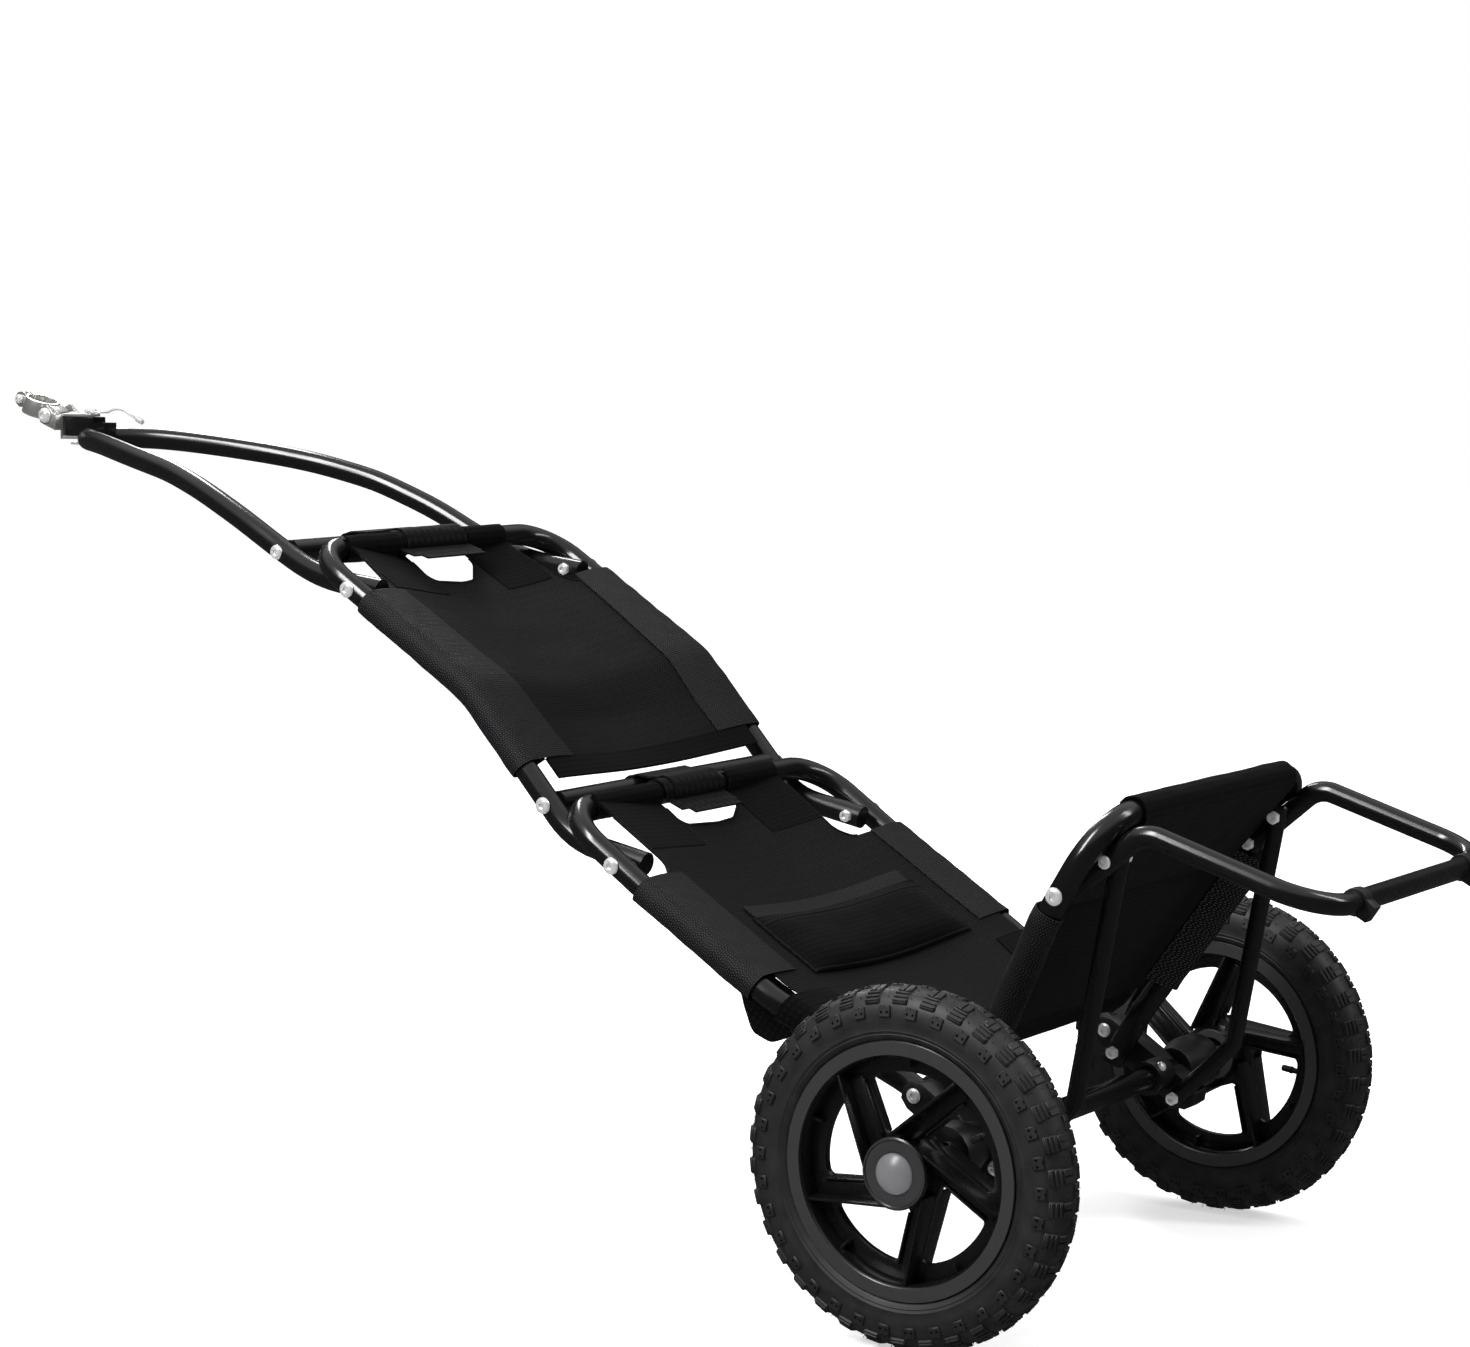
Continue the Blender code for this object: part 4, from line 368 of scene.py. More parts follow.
def wovenCloth(name, colour, light, threadMm, roughness=0.85):
    # plain weave polyester: threads over and under, with a little sheen at grazing light;
    # the real threads are finer, and are drawn as coarse as they need to be to show
    material, tree, shader = startMaterial(name, colour, roughness, Sheen_Weight=0.01,
                                           Sheen_Roughness=0.4, Specular_IOR_Level=0.07)
    sheetMap = addNode(tree, "UVMap", {"uv_map": "cloth"})
    waves = []
    for direction in ("X", "Y"):
        bands = {"wave_type": "BANDS", "bands_direction": direction, "Distortion": 0.6,
                 "Scale": 1000.0 / threadMm / 20.0, "Detail": 1.0, "Detail Scale": 2.0}
        wave = addNode(tree, "TexWave", bands, {"Vector": sheetMap.outputs["UV"]})
        waves.append(wave.outputs["Fac"])
    weave = addNode(tree, "Math", {"operation": "MULTIPLY"}, {0: waves[0], 1: waves[1]})
    tint = addNode(tree, "ValToRGB", None, {"Fac": weave.outputs["Value"]})
    tint.color_ramp.elements[0].color = hexColour(colour)
    tint.color_ramp.elements[1].color = hexColour(light)
    tree.links.new(tint.outputs["Color"], shader.inputs["Base Color"])
    bump = addNode(tree, "Bump", {"Strength": 0.5, "Distance": 0.0004}, {"Height": weave.outputs["Value"]})
    tree.links.new(bump.outputs["Normal"], shader.inputs["Normal"])
    return material


def meshCloth(name, dark, light, cellMm, zigzagMm, shine):
    # knitted spacer mesh: pale threads in zigzag rows with dark holes between them
    material, tree, shader = startMaterial(name, dark, 0.6, Specular_IOR_Level=shine)
    sheetMap = addNode(tree, "UVMap", {"uv_map": "cloth"})
    parts = addNode(tree, "SeparateXYZ", None, {"Vector": sheetMap.outputs["UV"]})
    across, along = parts.outputs["X"], parts.outputs["Y"]
    swing = addNode(tree, "Math", {"operation": "PINGPONG", 1: zigzagMm / 1000.0}, {0: across})
    slant = addNode(tree, "Math", {"operation": "ADD"}, {0: along, 1: swing.outputs["Value"]})
    rows = addNode(tree, "Math", {"operation": "PINGPONG", 1: cellMm / 2000.0}, {0: slant.outputs["Value"]})
    columns = addNode(tree, "Math", {"operation": "PINGPONG", 1: cellMm / 2600.0}, {0: across})
    cell = addNode(tree, "Math", {"operation": "MULTIPLY"},
                   {0: rows.outputs["Value"], 1: columns.outputs["Value"]})
    level = addNode(tree, "Math", {"operation": "MULTIPLY", 1: 1.0e6 * 5.2 / (cellMm * cellMm)},
                    {0: cell.outputs["Value"]})
    tint = addNode(tree, "ValToRGB", None, {"Fac": level.outputs["Value"]})
    for stop, position, colour in zip(tint.color_ramp.elements, (0.3, 0.8), (dark, light)):
        stop.position = position
        stop.color = hexColour(colour)
    tree.links.new(tint.outputs["Color"], shader.inputs["Base Color"])
    bump = addNode(tree, "Bump", {"Strength": 0.7, "Distance": 0.0006}, {"Height": level.outputs["Value"]})
    tree.links.new(bump.outputs["Normal"], shader.inputs["Normal"])
    return material


# baked powder on bent tube: near black, glossy, a faint orange peel of about 1 mm
coated = grained("glossPowderCoat", "#0c0c0d", 0.0, (1.1, 0.00006, 0.25), (0.15, 0.26), 0.2, IOR=1.5)
# coated castings: a little rougher than the tubes, so their highlights are broader
castMetal = grained("satinCastCoat", "#0f0f10", 0.0, (0.9, 0.0001, 0.35), (0.28, 0.44), 0.38, IOR=1.5)
# zinc plated screws: bright, with faint turning marks
zinc = grained("zincPlatedSteel", "#f0f0ee", 0.65, (0.5, 0.00002, 0.08), (0.12, 0.24), 0.2)
# pressed hitch plates: brushed along their length, so reflections streak
hitchSteel = grained("brushedHitchSteel", "#cdcdca", 0.9, (0.7, 0.00006, 0.35), (0.2, 0.38), 0.32,
                     (0.08, 1.0, 1.0))
rubber = tyreRubber()
glossNylon = moulded("glossNylon", "#0b0b0c", 0.2, 0.34)
satinNylon = moulded("satinNylon", "#262627", 0.4, 0.52)
capNylon = moulded("greyCapNylon", "#606063", 0.28, 0.4)
footNylon = moulded("blackFootNylon", "#0e0e0f", 0.3, 0.45)
plainCloth = wovenCloth("blackPolyester", "#040405", "#0c0c0d", 0.9)
webbing = wovenCloth("blackWebbing", "#0a0a0b", "#19191a", 1.6, 0.7)
bindingCloth = wovenCloth("blackBinding", "#09090a", "#161617", 1.0, 0.6)
sleeveMesh = meshCloth("sleeveMesh", "#030304", "#3c3c3f", 2.8, 4.0, 0.17)
openMesh = meshCloth("openMesh", "#040405", "#29292b", 3.6, 5.0, 0.08)
print("materials ready")


# Frame paths
sizes = {
    "tube": 0.011, "standTube": 0.0095, "strutTube": 0.008, "corner": 0.048,
    "lowerRun": 0.4215, "lowerSlope": 32.1, "lowerHalf": 0.2148, "lowerFootHalf": 0.1765,
    "lowerTaper": 0.2745, "lowerStraight": 0.018, "lowerBow": 0.0045, "lowerTail": 0.012,
    "upperHalf": 0.1867, "footRun": 0.0702, "footSlope": 11.3, "midRun": 0.1751, "midSlope": 48.4,
    "topRun": 0.2281, "topSlope": 32.4, "railTail": 0.012, "railBend": 0.080, "crossAt": 0.0410,
    "seatRun": 0.3163, "seatSlope": 58.8, "seatHalf": 0.1982, "seatFootHalf": 0.1495,
    "seatStraight": 0.045, "seatTaper": 0.213, "seatCorner": 0.053, "seatTail": 0.012,
    "standHalf": 0.1742, "standRise": 40.3, "standFirst": 0.0854, "standFall": -17.5,
    "standSecond": 0.1724, "standTail": 0.004, "standBend": 0.028, "standCorner": 0.050,
    "strutHalf": 0.1545, "strutKnee": 0.0796, "strutKneeSlope": 44.2, "strutTail": 0.009, "strutBend": 0.022}


class Rail:
    def __init__(self, points):
        self.points = points
        self.lengths = [0.0]
        for first, second in zip(points, points[1:]):
            self.lengths.append(self.lengths[-1] + (second - first).length)

    def at(self, s):
        index = 0
        while index < len(self.lengths) - 2 and self.lengths[index + 1] < s:
            index += 1
        first, second = self.points[index], self.points[index + 1]
        share = (s - self.lengths[index]) / (self.lengths[index + 1] - self.lengths[index])
        return first + (second - first) * share

    def slope(self, s):
        return (self.at(s + 0.006) - self.at(s - 0.006)).normalized()

    def up(self, s):
        along = self.slope(s)
        normal = Vector((-along.z, 0.0, along.x))
        return normal if normal.z > 0 else -normal


# the frame's bends in the side view; the rails run from the bars down to the hinges
lowerDir = ray(180 - sizes["lowerSlope"])
lowerDown = Vector((-lowerDir.z, 0.0, lowerDir.x))
lowerBar = frameRivet + lowerDir * sizes["lowerRun"]
bends = [frameRivet + lowerDir * (sizes["lowerRun"] * share) + lowerDown * sizes["lowerBow"]
         for share in (0.37, 0.73)]
railFoot = frameHinge + ray(180 - sizes["footSlope"]) * sizes["footRun"]
knee = railFoot + ray(180 - sizes["midSlope"]) * sizes["midRun"]
upperBar = knee + ray(180 - sizes["topSlope"]) * sizes["topRun"]
crossTube = railFoot + ray(180 - sizes["midSlope"]) * sizes["crossAt"]
railTail = frameHinge + (frameHinge - railFoot).normalized() * sizes["railTail"]
seatDir = ray(sizes["seatSlope"])
seatUp = Vector((-seatDir.z, 0.0, seatDir.x))
seatBar = seatHinge + seatDir * sizes["seatRun"]
standKnee = standHinge + ray(sizes["standRise"]) * sizes["standFirst"]
standBar = standKnee + ray(sizes["standFall"]) * sizes["standSecond"]
strutKnee = strutFoot + ray(sizes["strutKneeSlope"]) * sizes["strutKnee"]
lowerRail = Rail(roundPath([lowerBar, bends[1], bends[0], frameRivet], [0.4, 0.4], 1))
upperRail = Rail(roundPath([upperBar, knee, railFoot, railTail], [sizes["railBend"]] * 2, 4))
seatRail = Rail([seatHinge, seatBar])


def lowerHalf(s):
    share = (s - sizes["lowerTaper"]) / (sizes["lowerRun"] - sizes["lowerStraight"] - sizes["lowerTaper"])
    return sizes["lowerHalf"] + (sizes["lowerFootHalf"] - sizes["lowerHalf"]) * min(max(share, 0.0), 1.0)


def seatHalf(s):
    share = (s - sizes["seatStraight"]) / (sizes["seatTaper"] - sizes["seatStraight"])
    return sizes["seatFootHalf"] + (sizes["seatHalf"] - sizes["seatFootHalf"]) * min(max(share, 0.0), 1.0)


def upperHalf(s):
    return sizes["upperHalf"]


def loopOf(places, radii):
    # the left half of a loop, then the same mirrored on the right
    half = [inPlane(place, -sizes[width]) for place, width in places]
    return roundPath(half + [inPlane(p, -p.y) for p in reversed(half)], radii + list(reversed(radii)))


def frameTubes():
    tail = frameRivet + (frameRivet - bends[0]).normalized() * sizes["lowerTail"]
    foot = lowerRail.at(sizes["lowerRun"] - sizes["lowerStraight"])
    lower = loopOf([(tail, "lowerFootHalf"), (foot, "lowerFootHalf"),
                    (lowerRail.at(sizes["lowerTaper"]), "lowerHalf"), (bends[1], "lowerHalf"),
                    (lowerBar, "lowerHalf")], [0.05, 0.08, 0.3, sizes["corner"]])
    upper = loopOf([(place, "upperHalf") for place in (railTail, railFoot, knee, upperBar)],
                   [sizes["railBend"], sizes["railBend"], sizes["corner"]])
    seat = loopOf([(seatHinge - seatDir * sizes["seatTail"], "seatFootHalf"),
                   (seatRail.at(sizes["seatStraight"]), "seatFootHalf"),
                   (seatRail.at(sizes["seatTaper"]), "seatHalf"), (seatBar, "seatHalf")],
                  [0.06, 0.06, sizes["seatCorner"]])
    standTail = standHinge - ray(sizes["standRise"]) * sizes["standTail"]
    stand = loopOf([(place, "standHalf") for place in (standTail, standKnee, standBar)],
                   [sizes["standBend"], sizes["standCorner"]])
    for name, path, radius, body, node in (
            ("lowerFrame", lower, sizes["tube"], "chassis", "lower_frame_tube"),
            ("upperFrame", upper, sizes["tube"], "upper_frame", "upper_frame_tube"),
            ("seatFrame", seat, sizes["tube"], "seat", "seat_loop"),
            ("rearStand", stand, sizes["standTube"], "stand", "stand_loop")):
        finishPiece(tubeAlong(path, radius), name, body, coated, [node])
    down = (strutKnee - standPin).normalized()
    foot = (strutFoot - strutKnee).normalized()
    ends = [standPin - down * sizes["strutTail"], strutFoot + foot * sizes["strutTail"]]
    strut = roundPath([ends[0], strutKnee, ends[1]], [sizes["strutBend"]])
    for label, side in sides.items():
        piece = tubeAlong([inPlane(p, side * sizes["strutHalf"]) for p in strut], sizes["strutTube"])
        dressNode(piece, f"strut_{label}", "struts", coated)


frameTubes()
print("frame tubes bent")


# Drawbar
drawbarSizes = {
    "leg": ((-0.0200, 0.1627, -0.0033), (0.0450, 0.1627, 0.0046), (0.0760, 0.1600, 0.0130),
            (0.1150, 0.1535, 0.0300), (0.1440, 0.1520, 0.0457), (0.1720, 0.1480, 0.0597),
            (0.2340, 0.1360, 0.0857), (0.2950, 0.1160, 0.1027), (0.3390, 0.1040, 0.1107),
            (0.3900, 0.0840, 0.1187), (0.4400, 0.0600, 0.1257), (0.4790, 0.0400, 0.1287),
            (0.5040, 0.0103, 0.1290), (0.5100, -0.0060, 0.1290)),
    "noseBehindPin": 0.002, "blockHalf": 0.0103, "screwHead": (0.0072, 0.0032), "screwSink": 0.0006,
    "screwLength": 0.024, "blockStep": 0.0115, "blockDrop": 0.0058}


def smoothRoute(points, count):
    rail = Rail(points)
    total = rail.lengths[-1]
    knots = []
    for index in range(count + 1):
        s = total * index / count
        near = [rail.at(min(max(s + shift, 0.0), total)) for shift in (-0.026, -0.013, 0.0, 0.013, 0.026)]
        knots.append(sum((p * w for p, w in zip(near, (1, 2, 3, 2, 1))), Vector()) / 9)
    return knots


def drawbar():
    d = drawbarSizes
    for label, side in sides.items():
        points = [Vector((drawbarPivot.x - reach, side * half, drawbarPivot.z + rise))
                  for reach, half, rise in d["leg"]]
        path = smoothRoute(points, 70)
        path[-1] = points[-1]
        leg = tubeAlong(path, sizes["tube"])
        # the leg ends flat behind the pin and lies flat against the tongue block
        nose = hitchPinTop.x + d["noseBehindPin"]
        cutAway(leg, slab((nose - 0.3, -0.4, -0.3), (nose, 0.4, 0.3)))
        edge, far = sorted((side * d["blockHalf"], -side * 0.3))
        cutAway(leg, slab((nose - 0.1, edge, -0.3), (nose + 0.2, far, 0.3)))
        smooth(bevelEdges(leg, 0.0012, 3, 50), 40)
        dressNode(leg, f"drawbar_leg_{label}", "drawbar", coated)
    low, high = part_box("drawbar_cross_tube")
    middle = (low + high) / 2
    bar = cylinder(middle, (0, 1, 0), sizes["tube"], high.y - low.y + 0.006, 40)
    dressNode(smooth(bar), "drawbar_cross_tube", "drawbar", coated)
    outer = abs(min(path, key=lambda place: abs(place.x - middle.x)).y) + sizes["tube"]
    heads = []
    for side in (-1, 1):
        seat = inPlane(middle, side * (outer - d["screwSink"]))
        heads.append(screwHead(seat, (0, side, 0), *d["screwHead"]))
        centre = inPlane(middle, side * (outer - d["screwLength"] / 2))
        heads.append(cylinder(centre, (0, 1, 0), screwSizes["shank"], d["screwLength"], 20))
    finishPiece(smooth(joinAll("heads", heads)), "drawbarCrossScrews", "drawbar", zinc)
    low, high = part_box("tongue_block")
    block = slab(low, high, 0.0015, 3)
    # behind the pin the block steps down between the legs
    step = Vector((hitchPinTop.x + d["blockStep"], 0.0, high.z - d["blockDrop"]))
    cutAway(block, slab(step - Vector((0, 0.1, 0)), step + Vector((0.2, 0.1, 0.1))))
    dressNode(smooth(block, 34), "tongue_block", "drawbar", coated)


def crossTubes():
    tube = sizes["tube"]
    half = sizes["upperHalf"] - tube
    bar = cylinder(crossTube, (0, 1, 0), tube, 2 * half, 40)
    heads = []
    for side in (-1, 1):
        seat = inPlane(crossTube, side * (half + 2 * tube))
        heads.append(screwHead(seat, (0, side, 0), *screwSizes["hinge"]))
        centre = inPlane(crossTube, side * (half + tube))
        heads.append(cylinder(centre, (0, side, 0), screwSizes["shank"], 2.1 * tube))
    dressNode(smooth(bar), "upper_cross_tube", "upper_frame", coated)
    finishPiece(smooth(joinAll("crossScrews", heads)), "crossTubeScrews", "upper_frame", zinc)


# Screws: domed heads with a hexagon socket, and lock nuts with a nylon ring
# each head and nut is (radius, height)
screwSizes = {"shank": 0.003, "hinge": (0.0078, 0.0034), "foot": (0.0068, 0.0032), "rivet": (0.0068, 0.0026),
              "pin": (0.0058, 0.0018), "collar": (0.0048, 0.0042), "nut": (0.0064, 0.0058),
              "collarRise": 0.0162}


def screwHead(seat, axis, radius, height):
    axis = Vector(axis).normalized()
    profile = [(0.0, height), (radius * 0.5, height * 0.97), (radius * 0.78, height * 0.78),
               (radius * 0.95, height * 0.42), (radius, height * 0.16), (radius, 0.0), (0.0, 0.0)]
    head = turned(profile, seat, axis, 32)
    return cutAway(head, cylinder(seat + axis * height, axis, radius * 0.42, height * 1.1, 6))


def lockNut(seat, axis, radius, height):
    axis = Vector(axis).normalized()
    nut = bevelEdges(cylinder(seat + axis * height * 0.33, axis, radius, height * 0.66, 6), radius * 0.1, 2)
    profile = [(radius * 0.4, height * 0.6), (radius * 0.8, height * 0.6), (radius * 0.8, height * 0.9),
               (radius * 0.62, height), (radius * 0.4, height), (radius * 0.4, height * 0.6)]
    return joinAll("nut", [nut, turned(profile, seat, axis, 24)])


def endsOf(node):
    # the outer and the inner end of a fastener that runs across one side of the trailer
    low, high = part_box(node)
    return (low.y, high.y) if "left" in node else (high.y, low.y)


def shank(centre, outer, inner, shorter):
    length = abs(outer - inner) - shorter
    return cylinder(inPlane(centre, (outer + inner) / 2), (0, 1, 0), screwSizes["shank"], length, 20)


def innerNut(centre, inner, side):
    seat = inPlane(centre, inner + side * screwSizes["nut"][1])
    return lockNut(seat, (0, -side, 0), *screwSizes["nut"])


def dressScrew(pieces, node, body):
    return dressNode(smooth(joinAll("screw", pieces)), node, body, zinc)


def sideScrew(node, body, head="hinge", nut=True):
    radius, height = screwSizes[head]
    side = -1 if "left" in node else 1
    centre = nodeCentre(node)
    outer, inner = endsOf(node)
    pieces = [screwHead(inPlane(centre, outer - side * height), (0, side, 0), radius, height),
              shank(centre, outer, inner, height)]
    if nut:
        pieces.append(innerNut(centre, inner, side))
    else:
        pieces.append(screwHead(inPlane(centre, inner + side * height), (0, -side, 0), radius, height))
    dressScrew(pieces, node, body)


def allScrews():
    for label, side in sides.items():
        sideScrew(f"frame_hinge_screw_{label}", "chassis")
        sideScrew(f"seat_hinge_screw_{label}", "chassis", "foot")
        sideScrew(f"strut_foot_screw_{label}", "chassis", "foot")
        sideScrew(f"frame_rivet_{label}", "chassis", "rivet", nut=False)
        sideScrew(f"drawbar_pivot_screw_{label}", "upper_frame")
        sideScrew(f"stand_hinge_screw_{label}", "seat")
        radius, height = screwSizes["pin"]
        node = f"stand_pin_{label}"
        outer, inner = endsOf(node)
        head = screwHead(inPlane(standPin, outer - side * height), (0, side, 0), radius, height)
        dressScrew([head, shank(standPin, outer, inner, 0.002)], node, "stand")
        node = f"strut_nut_{label}"
        outer, inner = endsOf(node)
        dressScrew([innerNut(standPin, inner, side), shank(standPin, outer, inner, 0.001)], node, "struts")
        node = f"collar_screw_{label}"
        out = Vector((1.0, 0.0, 1.0)).normalized()
        seat = inPlane(axle, nodeCentre(node).y) + out * screwSizes["collarRise"]
        stub = cylinder(seat - out * 0.002, out, screwSizes["shank"], 0.004, 20)
        dressScrew([screwHead(seat, out, *screwSizes["collar"]), stub], node, "chassis")


drawbar()
crossTubes()
allScrews()
print("drawbar and screws made")


# Axle, brackets and feet
footSizes = {"slim": 0.92, "short": 0.62, "edge": 0.0006}      # against the node that each clamp stands for


def axleParts():
    for label in sides:
        bracket = nodeCopy(f"axle_bracket_{label}", 0.0007, 34)
        dressNode(bracket, f"axle_bracket_{label}", "chassis", castMetal)
        foot = nodeCopy(f"stand_foot_{label}")
        middle = nodeCentre(f"stand_foot_{label}").y
        for vertex in foot.data.vertices:
            vertex.co.x = standBar.x + (vertex.co.x - standBar.x) * footSizes["slim"]
            vertex.co.z = standBar.z + (vertex.co.z - standBar.z) * footSizes["slim"]
            vertex.co.y = middle + (vertex.co.y - middle) * footSizes["short"]
        foot = smooth(bevelEdges(foot, footSizes["edge"]), 34)
        dressNode(foot, f"stand_foot_{label}", "stand", footNylon)
    for node, radius, vertices, slot, material in (("axle_tube", 0.011, 48, "coated_steel", coated),
                                                   ("axle_shaft", 0.006, 32, "bright_steel", zinc)):
        low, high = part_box(node)
        rod = cylinder(inPlane(axle), (0, 1, 0), radius, high.y - low.y, vertices)
        dressNode(smooth(rod), node, "chassis", material)


axleParts()
print("axle made")


# Wheels: moulded five spoke wheels with block tyres
wheelSizes = {
    "rimInner": 0.0972, "halfWidth": 0.0208, "webHalf": 0.0036, "windowOuter": 0.0815,
    "windowInner": 0.0335, "spokes": 5, "spokeLow": 0.0105, "spokeHigh": 0.0300, "ribThick": 0.0042,
    "hubRadius": 0.0308, "hubFace": 0.0283, "hubBack": 0.0240, "turn": {"left": 40.0, "right": 66.0},
    "valve": {"left": 27.0, "right": -8.0}, "capRadius": 0.0175, "capRise": 0.0074, "valveFoot": 0.0955,
    "gussetTurn": 47, "gusset": ((0.0865, -0.0014, -0.0125), (0.0962, 0.0014, 0.0125))}
# blocks are (width, length, height); rows are (kind, block, radius, half width, lean, shift along)
tyreSizes = {"half": 0.0228, "blocks": 34, "hair": 0.0032,
             "rows": (("side", (0.0108, 0.0098, 0.0022), 0.1345, 0.0218, 12.0, 0.0),
                      ("shoulder", (0.0140, 0.0128, 0.0014), 0.1458, 0.0164, 48.0, 0.5),
                      ("crown", (0.0125, 0.0112, 0.0024), 0.1510, 0.0062, 76.0, 0.0)),
             "hairRows": ((46.0, 0.1462, 0.0170), (72.0, 0.1516, 0.0088))}
# wheels are drawn as seen from the left: x back, y up, and z out of the wheel to the left
seenFromLeft = Matrix(((1, 0, 0, 0), (0, 0, -1, 0), (0, 1, 0, 0), (0, 0, 0, 1)))
drawnAxis = ((0, 0, 0), (0, 0, 1))


def flipFace(mesh):
    mesh.transform(Matrix.Scale(-1, 4, (0, 0, 1)))
    mesh.flip_normals()


def wheelWeb(turn):
    # a flat web with five windows, each between one spoke's plain edge and the next spoke's ribbed edge
    w = wheelSizes
    step = 360 / w["spokes"]
    web = cylinder(*drawnAxis, w["rimInner"], 2 * w["webHalf"], 120)
    for k in range(w["spokes"]):
        ribbed = spokeLine(turn + step * k, w["spokeHigh"])
        plain = spokeLine(turn + step * (k + 1), w["spokeLow"])
        first, last = ribbed(w["windowOuter"]), plain(w["windowOuter"])
        start = math.atan2(first.y, first.x)
        sweep = (math.atan2(last.y, last.x) - start) % (2 * math.pi)
        shares = [0.0] + [0.14 + 0.72 * i / 12 for i in range(13)] + [1.0]
        turns = [start + sweep * share for share in shares]
        arc = [Vector((math.cos(a), math.sin(a), 0.0)) * w["windowOuter"] for a in turns]
        ring = [ribbed(w["windowInner"] + 0.002)] + arc + [plain(w["windowInner"])]
        middle = (ring[-1] + ring[0]) / 2
        radii = [0.0035, 0.006] + [0.0] * 13 + [0.007, 0.0045]
        closed = roundPath([middle] + ring + [middle], radii, 15)[:-1]
        cutAway(web, prism([(p.x, p.y) for p in closed], 0.02))
    return bevelEdges(web, 0.0012, 2, 50)


def spokeLine(degrees, offset):
    # where a line beside a spoke's middle reaches a radius
    along = Vector((math.cos(math.radians(degrees)), math.sin(math.radians(degrees)), 0.0))
    across = Vector((-along.y, along.x, 0.0))
    return lambda radius: along * math.sqrt(radius * radius - offset * offset) + across * offset


def spokeRib(degrees, face):
    # a tall thin rib along the spoke's outer edge, from the hub's face down to the rim's face
    w = wheelSizes
    inner, outer = 0.012, 0.0915
    low, high = w["spokeHigh"] - w["ribThick"], w["spokeHigh"]
    rib = slab((inner, low, 0.0), (outer, high, 0.010))
    for vertex in rib.data.vertices:
        near = vertex.co.x < 0.05
        top = vertex.co.z > 0.005
        vertex.co.z = (w["hubFace"] - 0.0035 if near else w["halfWidth"] - 0.0012) if top else 0.0
        if top:
            middle = (low + high) / 2
            vertex.co.y = middle + (0.0013 if vertex.co.y > middle else -0.0013)
            if near:
                vertex.co.y += 0.0006
    flange = slab((inner, w["spokeLow"], 0.0), (0.0865, low + 0.001, 0.006))
    for vertex in flange.data.vertices:
        near = vertex.co.x < 0.05
        if vertex.co.z > 0.003:
            vertex.co.z = 0.0078 if near else 0.0056
            if vertex.co.y < low:
                vertex.co.y += 0.004
    lip = slab((0.034, w["spokeLow"] + 0.0004, 0.0030),
               (w["windowOuter"], w["spokeLow"] + 0.0026, 0.0088), 0.0008)
    piece = joinAll("rib", [bevelEdges(rib, 0.0007, 2), bevelEdges(flange, 0.0012, 2), lip])
    piece.data.transform(Matrix.Rotation(math.radians(degrees), 4, "Z"))
    if face < 0:
        flipFace(piece.data)
    return piece


def wheelRim(label, side):
    w = wheelSizes
    h = w["halfWidth"]
    half = [(0.0972, h - 0.0006), (0.0980, h), (0.1092, h), (0.1100, h - 0.0008), (0.1100, h - 0.0030),
            (0.1062, h - 0.0036), (0.1052, 0.0)]
    inside = [(0.0955, 0.0), (0.0948, 0.0030), (0.0953, h - 0.004)]
    section = half + [(r, -z) for r, z in reversed(half[:-1])] + [(r, -z) for r, z in reversed(inside[1:])]
    section += inside + [half[0]]
    turn, step = w["turn"][label], 360 / w["spokes"]
    parts = [turned(section, *drawnAxis, 120), wheelWeb(turn)]
    for k in range(w["spokes"]):
        for face in (-1, 1):
            parts.append(spokeRib(turn + step * k, face))
    for k in range(w["spokes"]):
        gusset = slab(*w["gusset"], 0.0005)
        gusset.data.transform(Matrix.Rotation(math.radians(turn + w["gussetTurn"] + step * k), 4, "Z"))
        parts.append(gusset)
    r, face, back = w["hubRadius"], w["hubFace"], -w["hubBack"]
    hub = [(0.0178, face - 0.004), (0.0178, face - 0.0010), (0.0185, face - 0.0008),
           (0.0276, face - 0.0008), (0.0284, face), (r - 0.0012, face), (r, face - 0.0010),
           (r, face - 0.0035), (r - 0.0035, face - 0.0050), (r - 0.0055, 0.004), (r - 0.0055, -0.004),
           (r - 0.006, back + 0.001), (r - 0.007, back), (0.0170, back), (0.0170, face - 0.004),
           (0.0178, face - 0.004)]
    parts.append(turned(hub, *drawnAxis, 72))
    wheel = joinAll(f"wheelRim{label.title()}", parts)
    wheel.data.materials.clear()
    wheel.data.materials.append(glossNylon)
    wheel.data.materials.append(satinNylon)
    # the flat rim ring and the hub's flat face are duller than the rest
    for polygon in wheel.data.polygons:
        reach = Vector(polygon.center.xy).length
        outside = abs(polygon.center.z) > h - 0.0012 and abs(polygon.normal.z) > 0.95
        polygon.material_index = 1 if outside and (reach > 0.0965 or reach < r) else 0
    smooth(wheel, 38)
    if side > 0:
        flipFace(wheel.data)
    wheel.data.transform(Matrix.Translation(inPlane(axle, side * wheelY)) @ seenFromLeft)
    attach(wheel, f"wheel_{label}")
    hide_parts(f"wheel_rim_{label}", f"hub_bush_{label}")


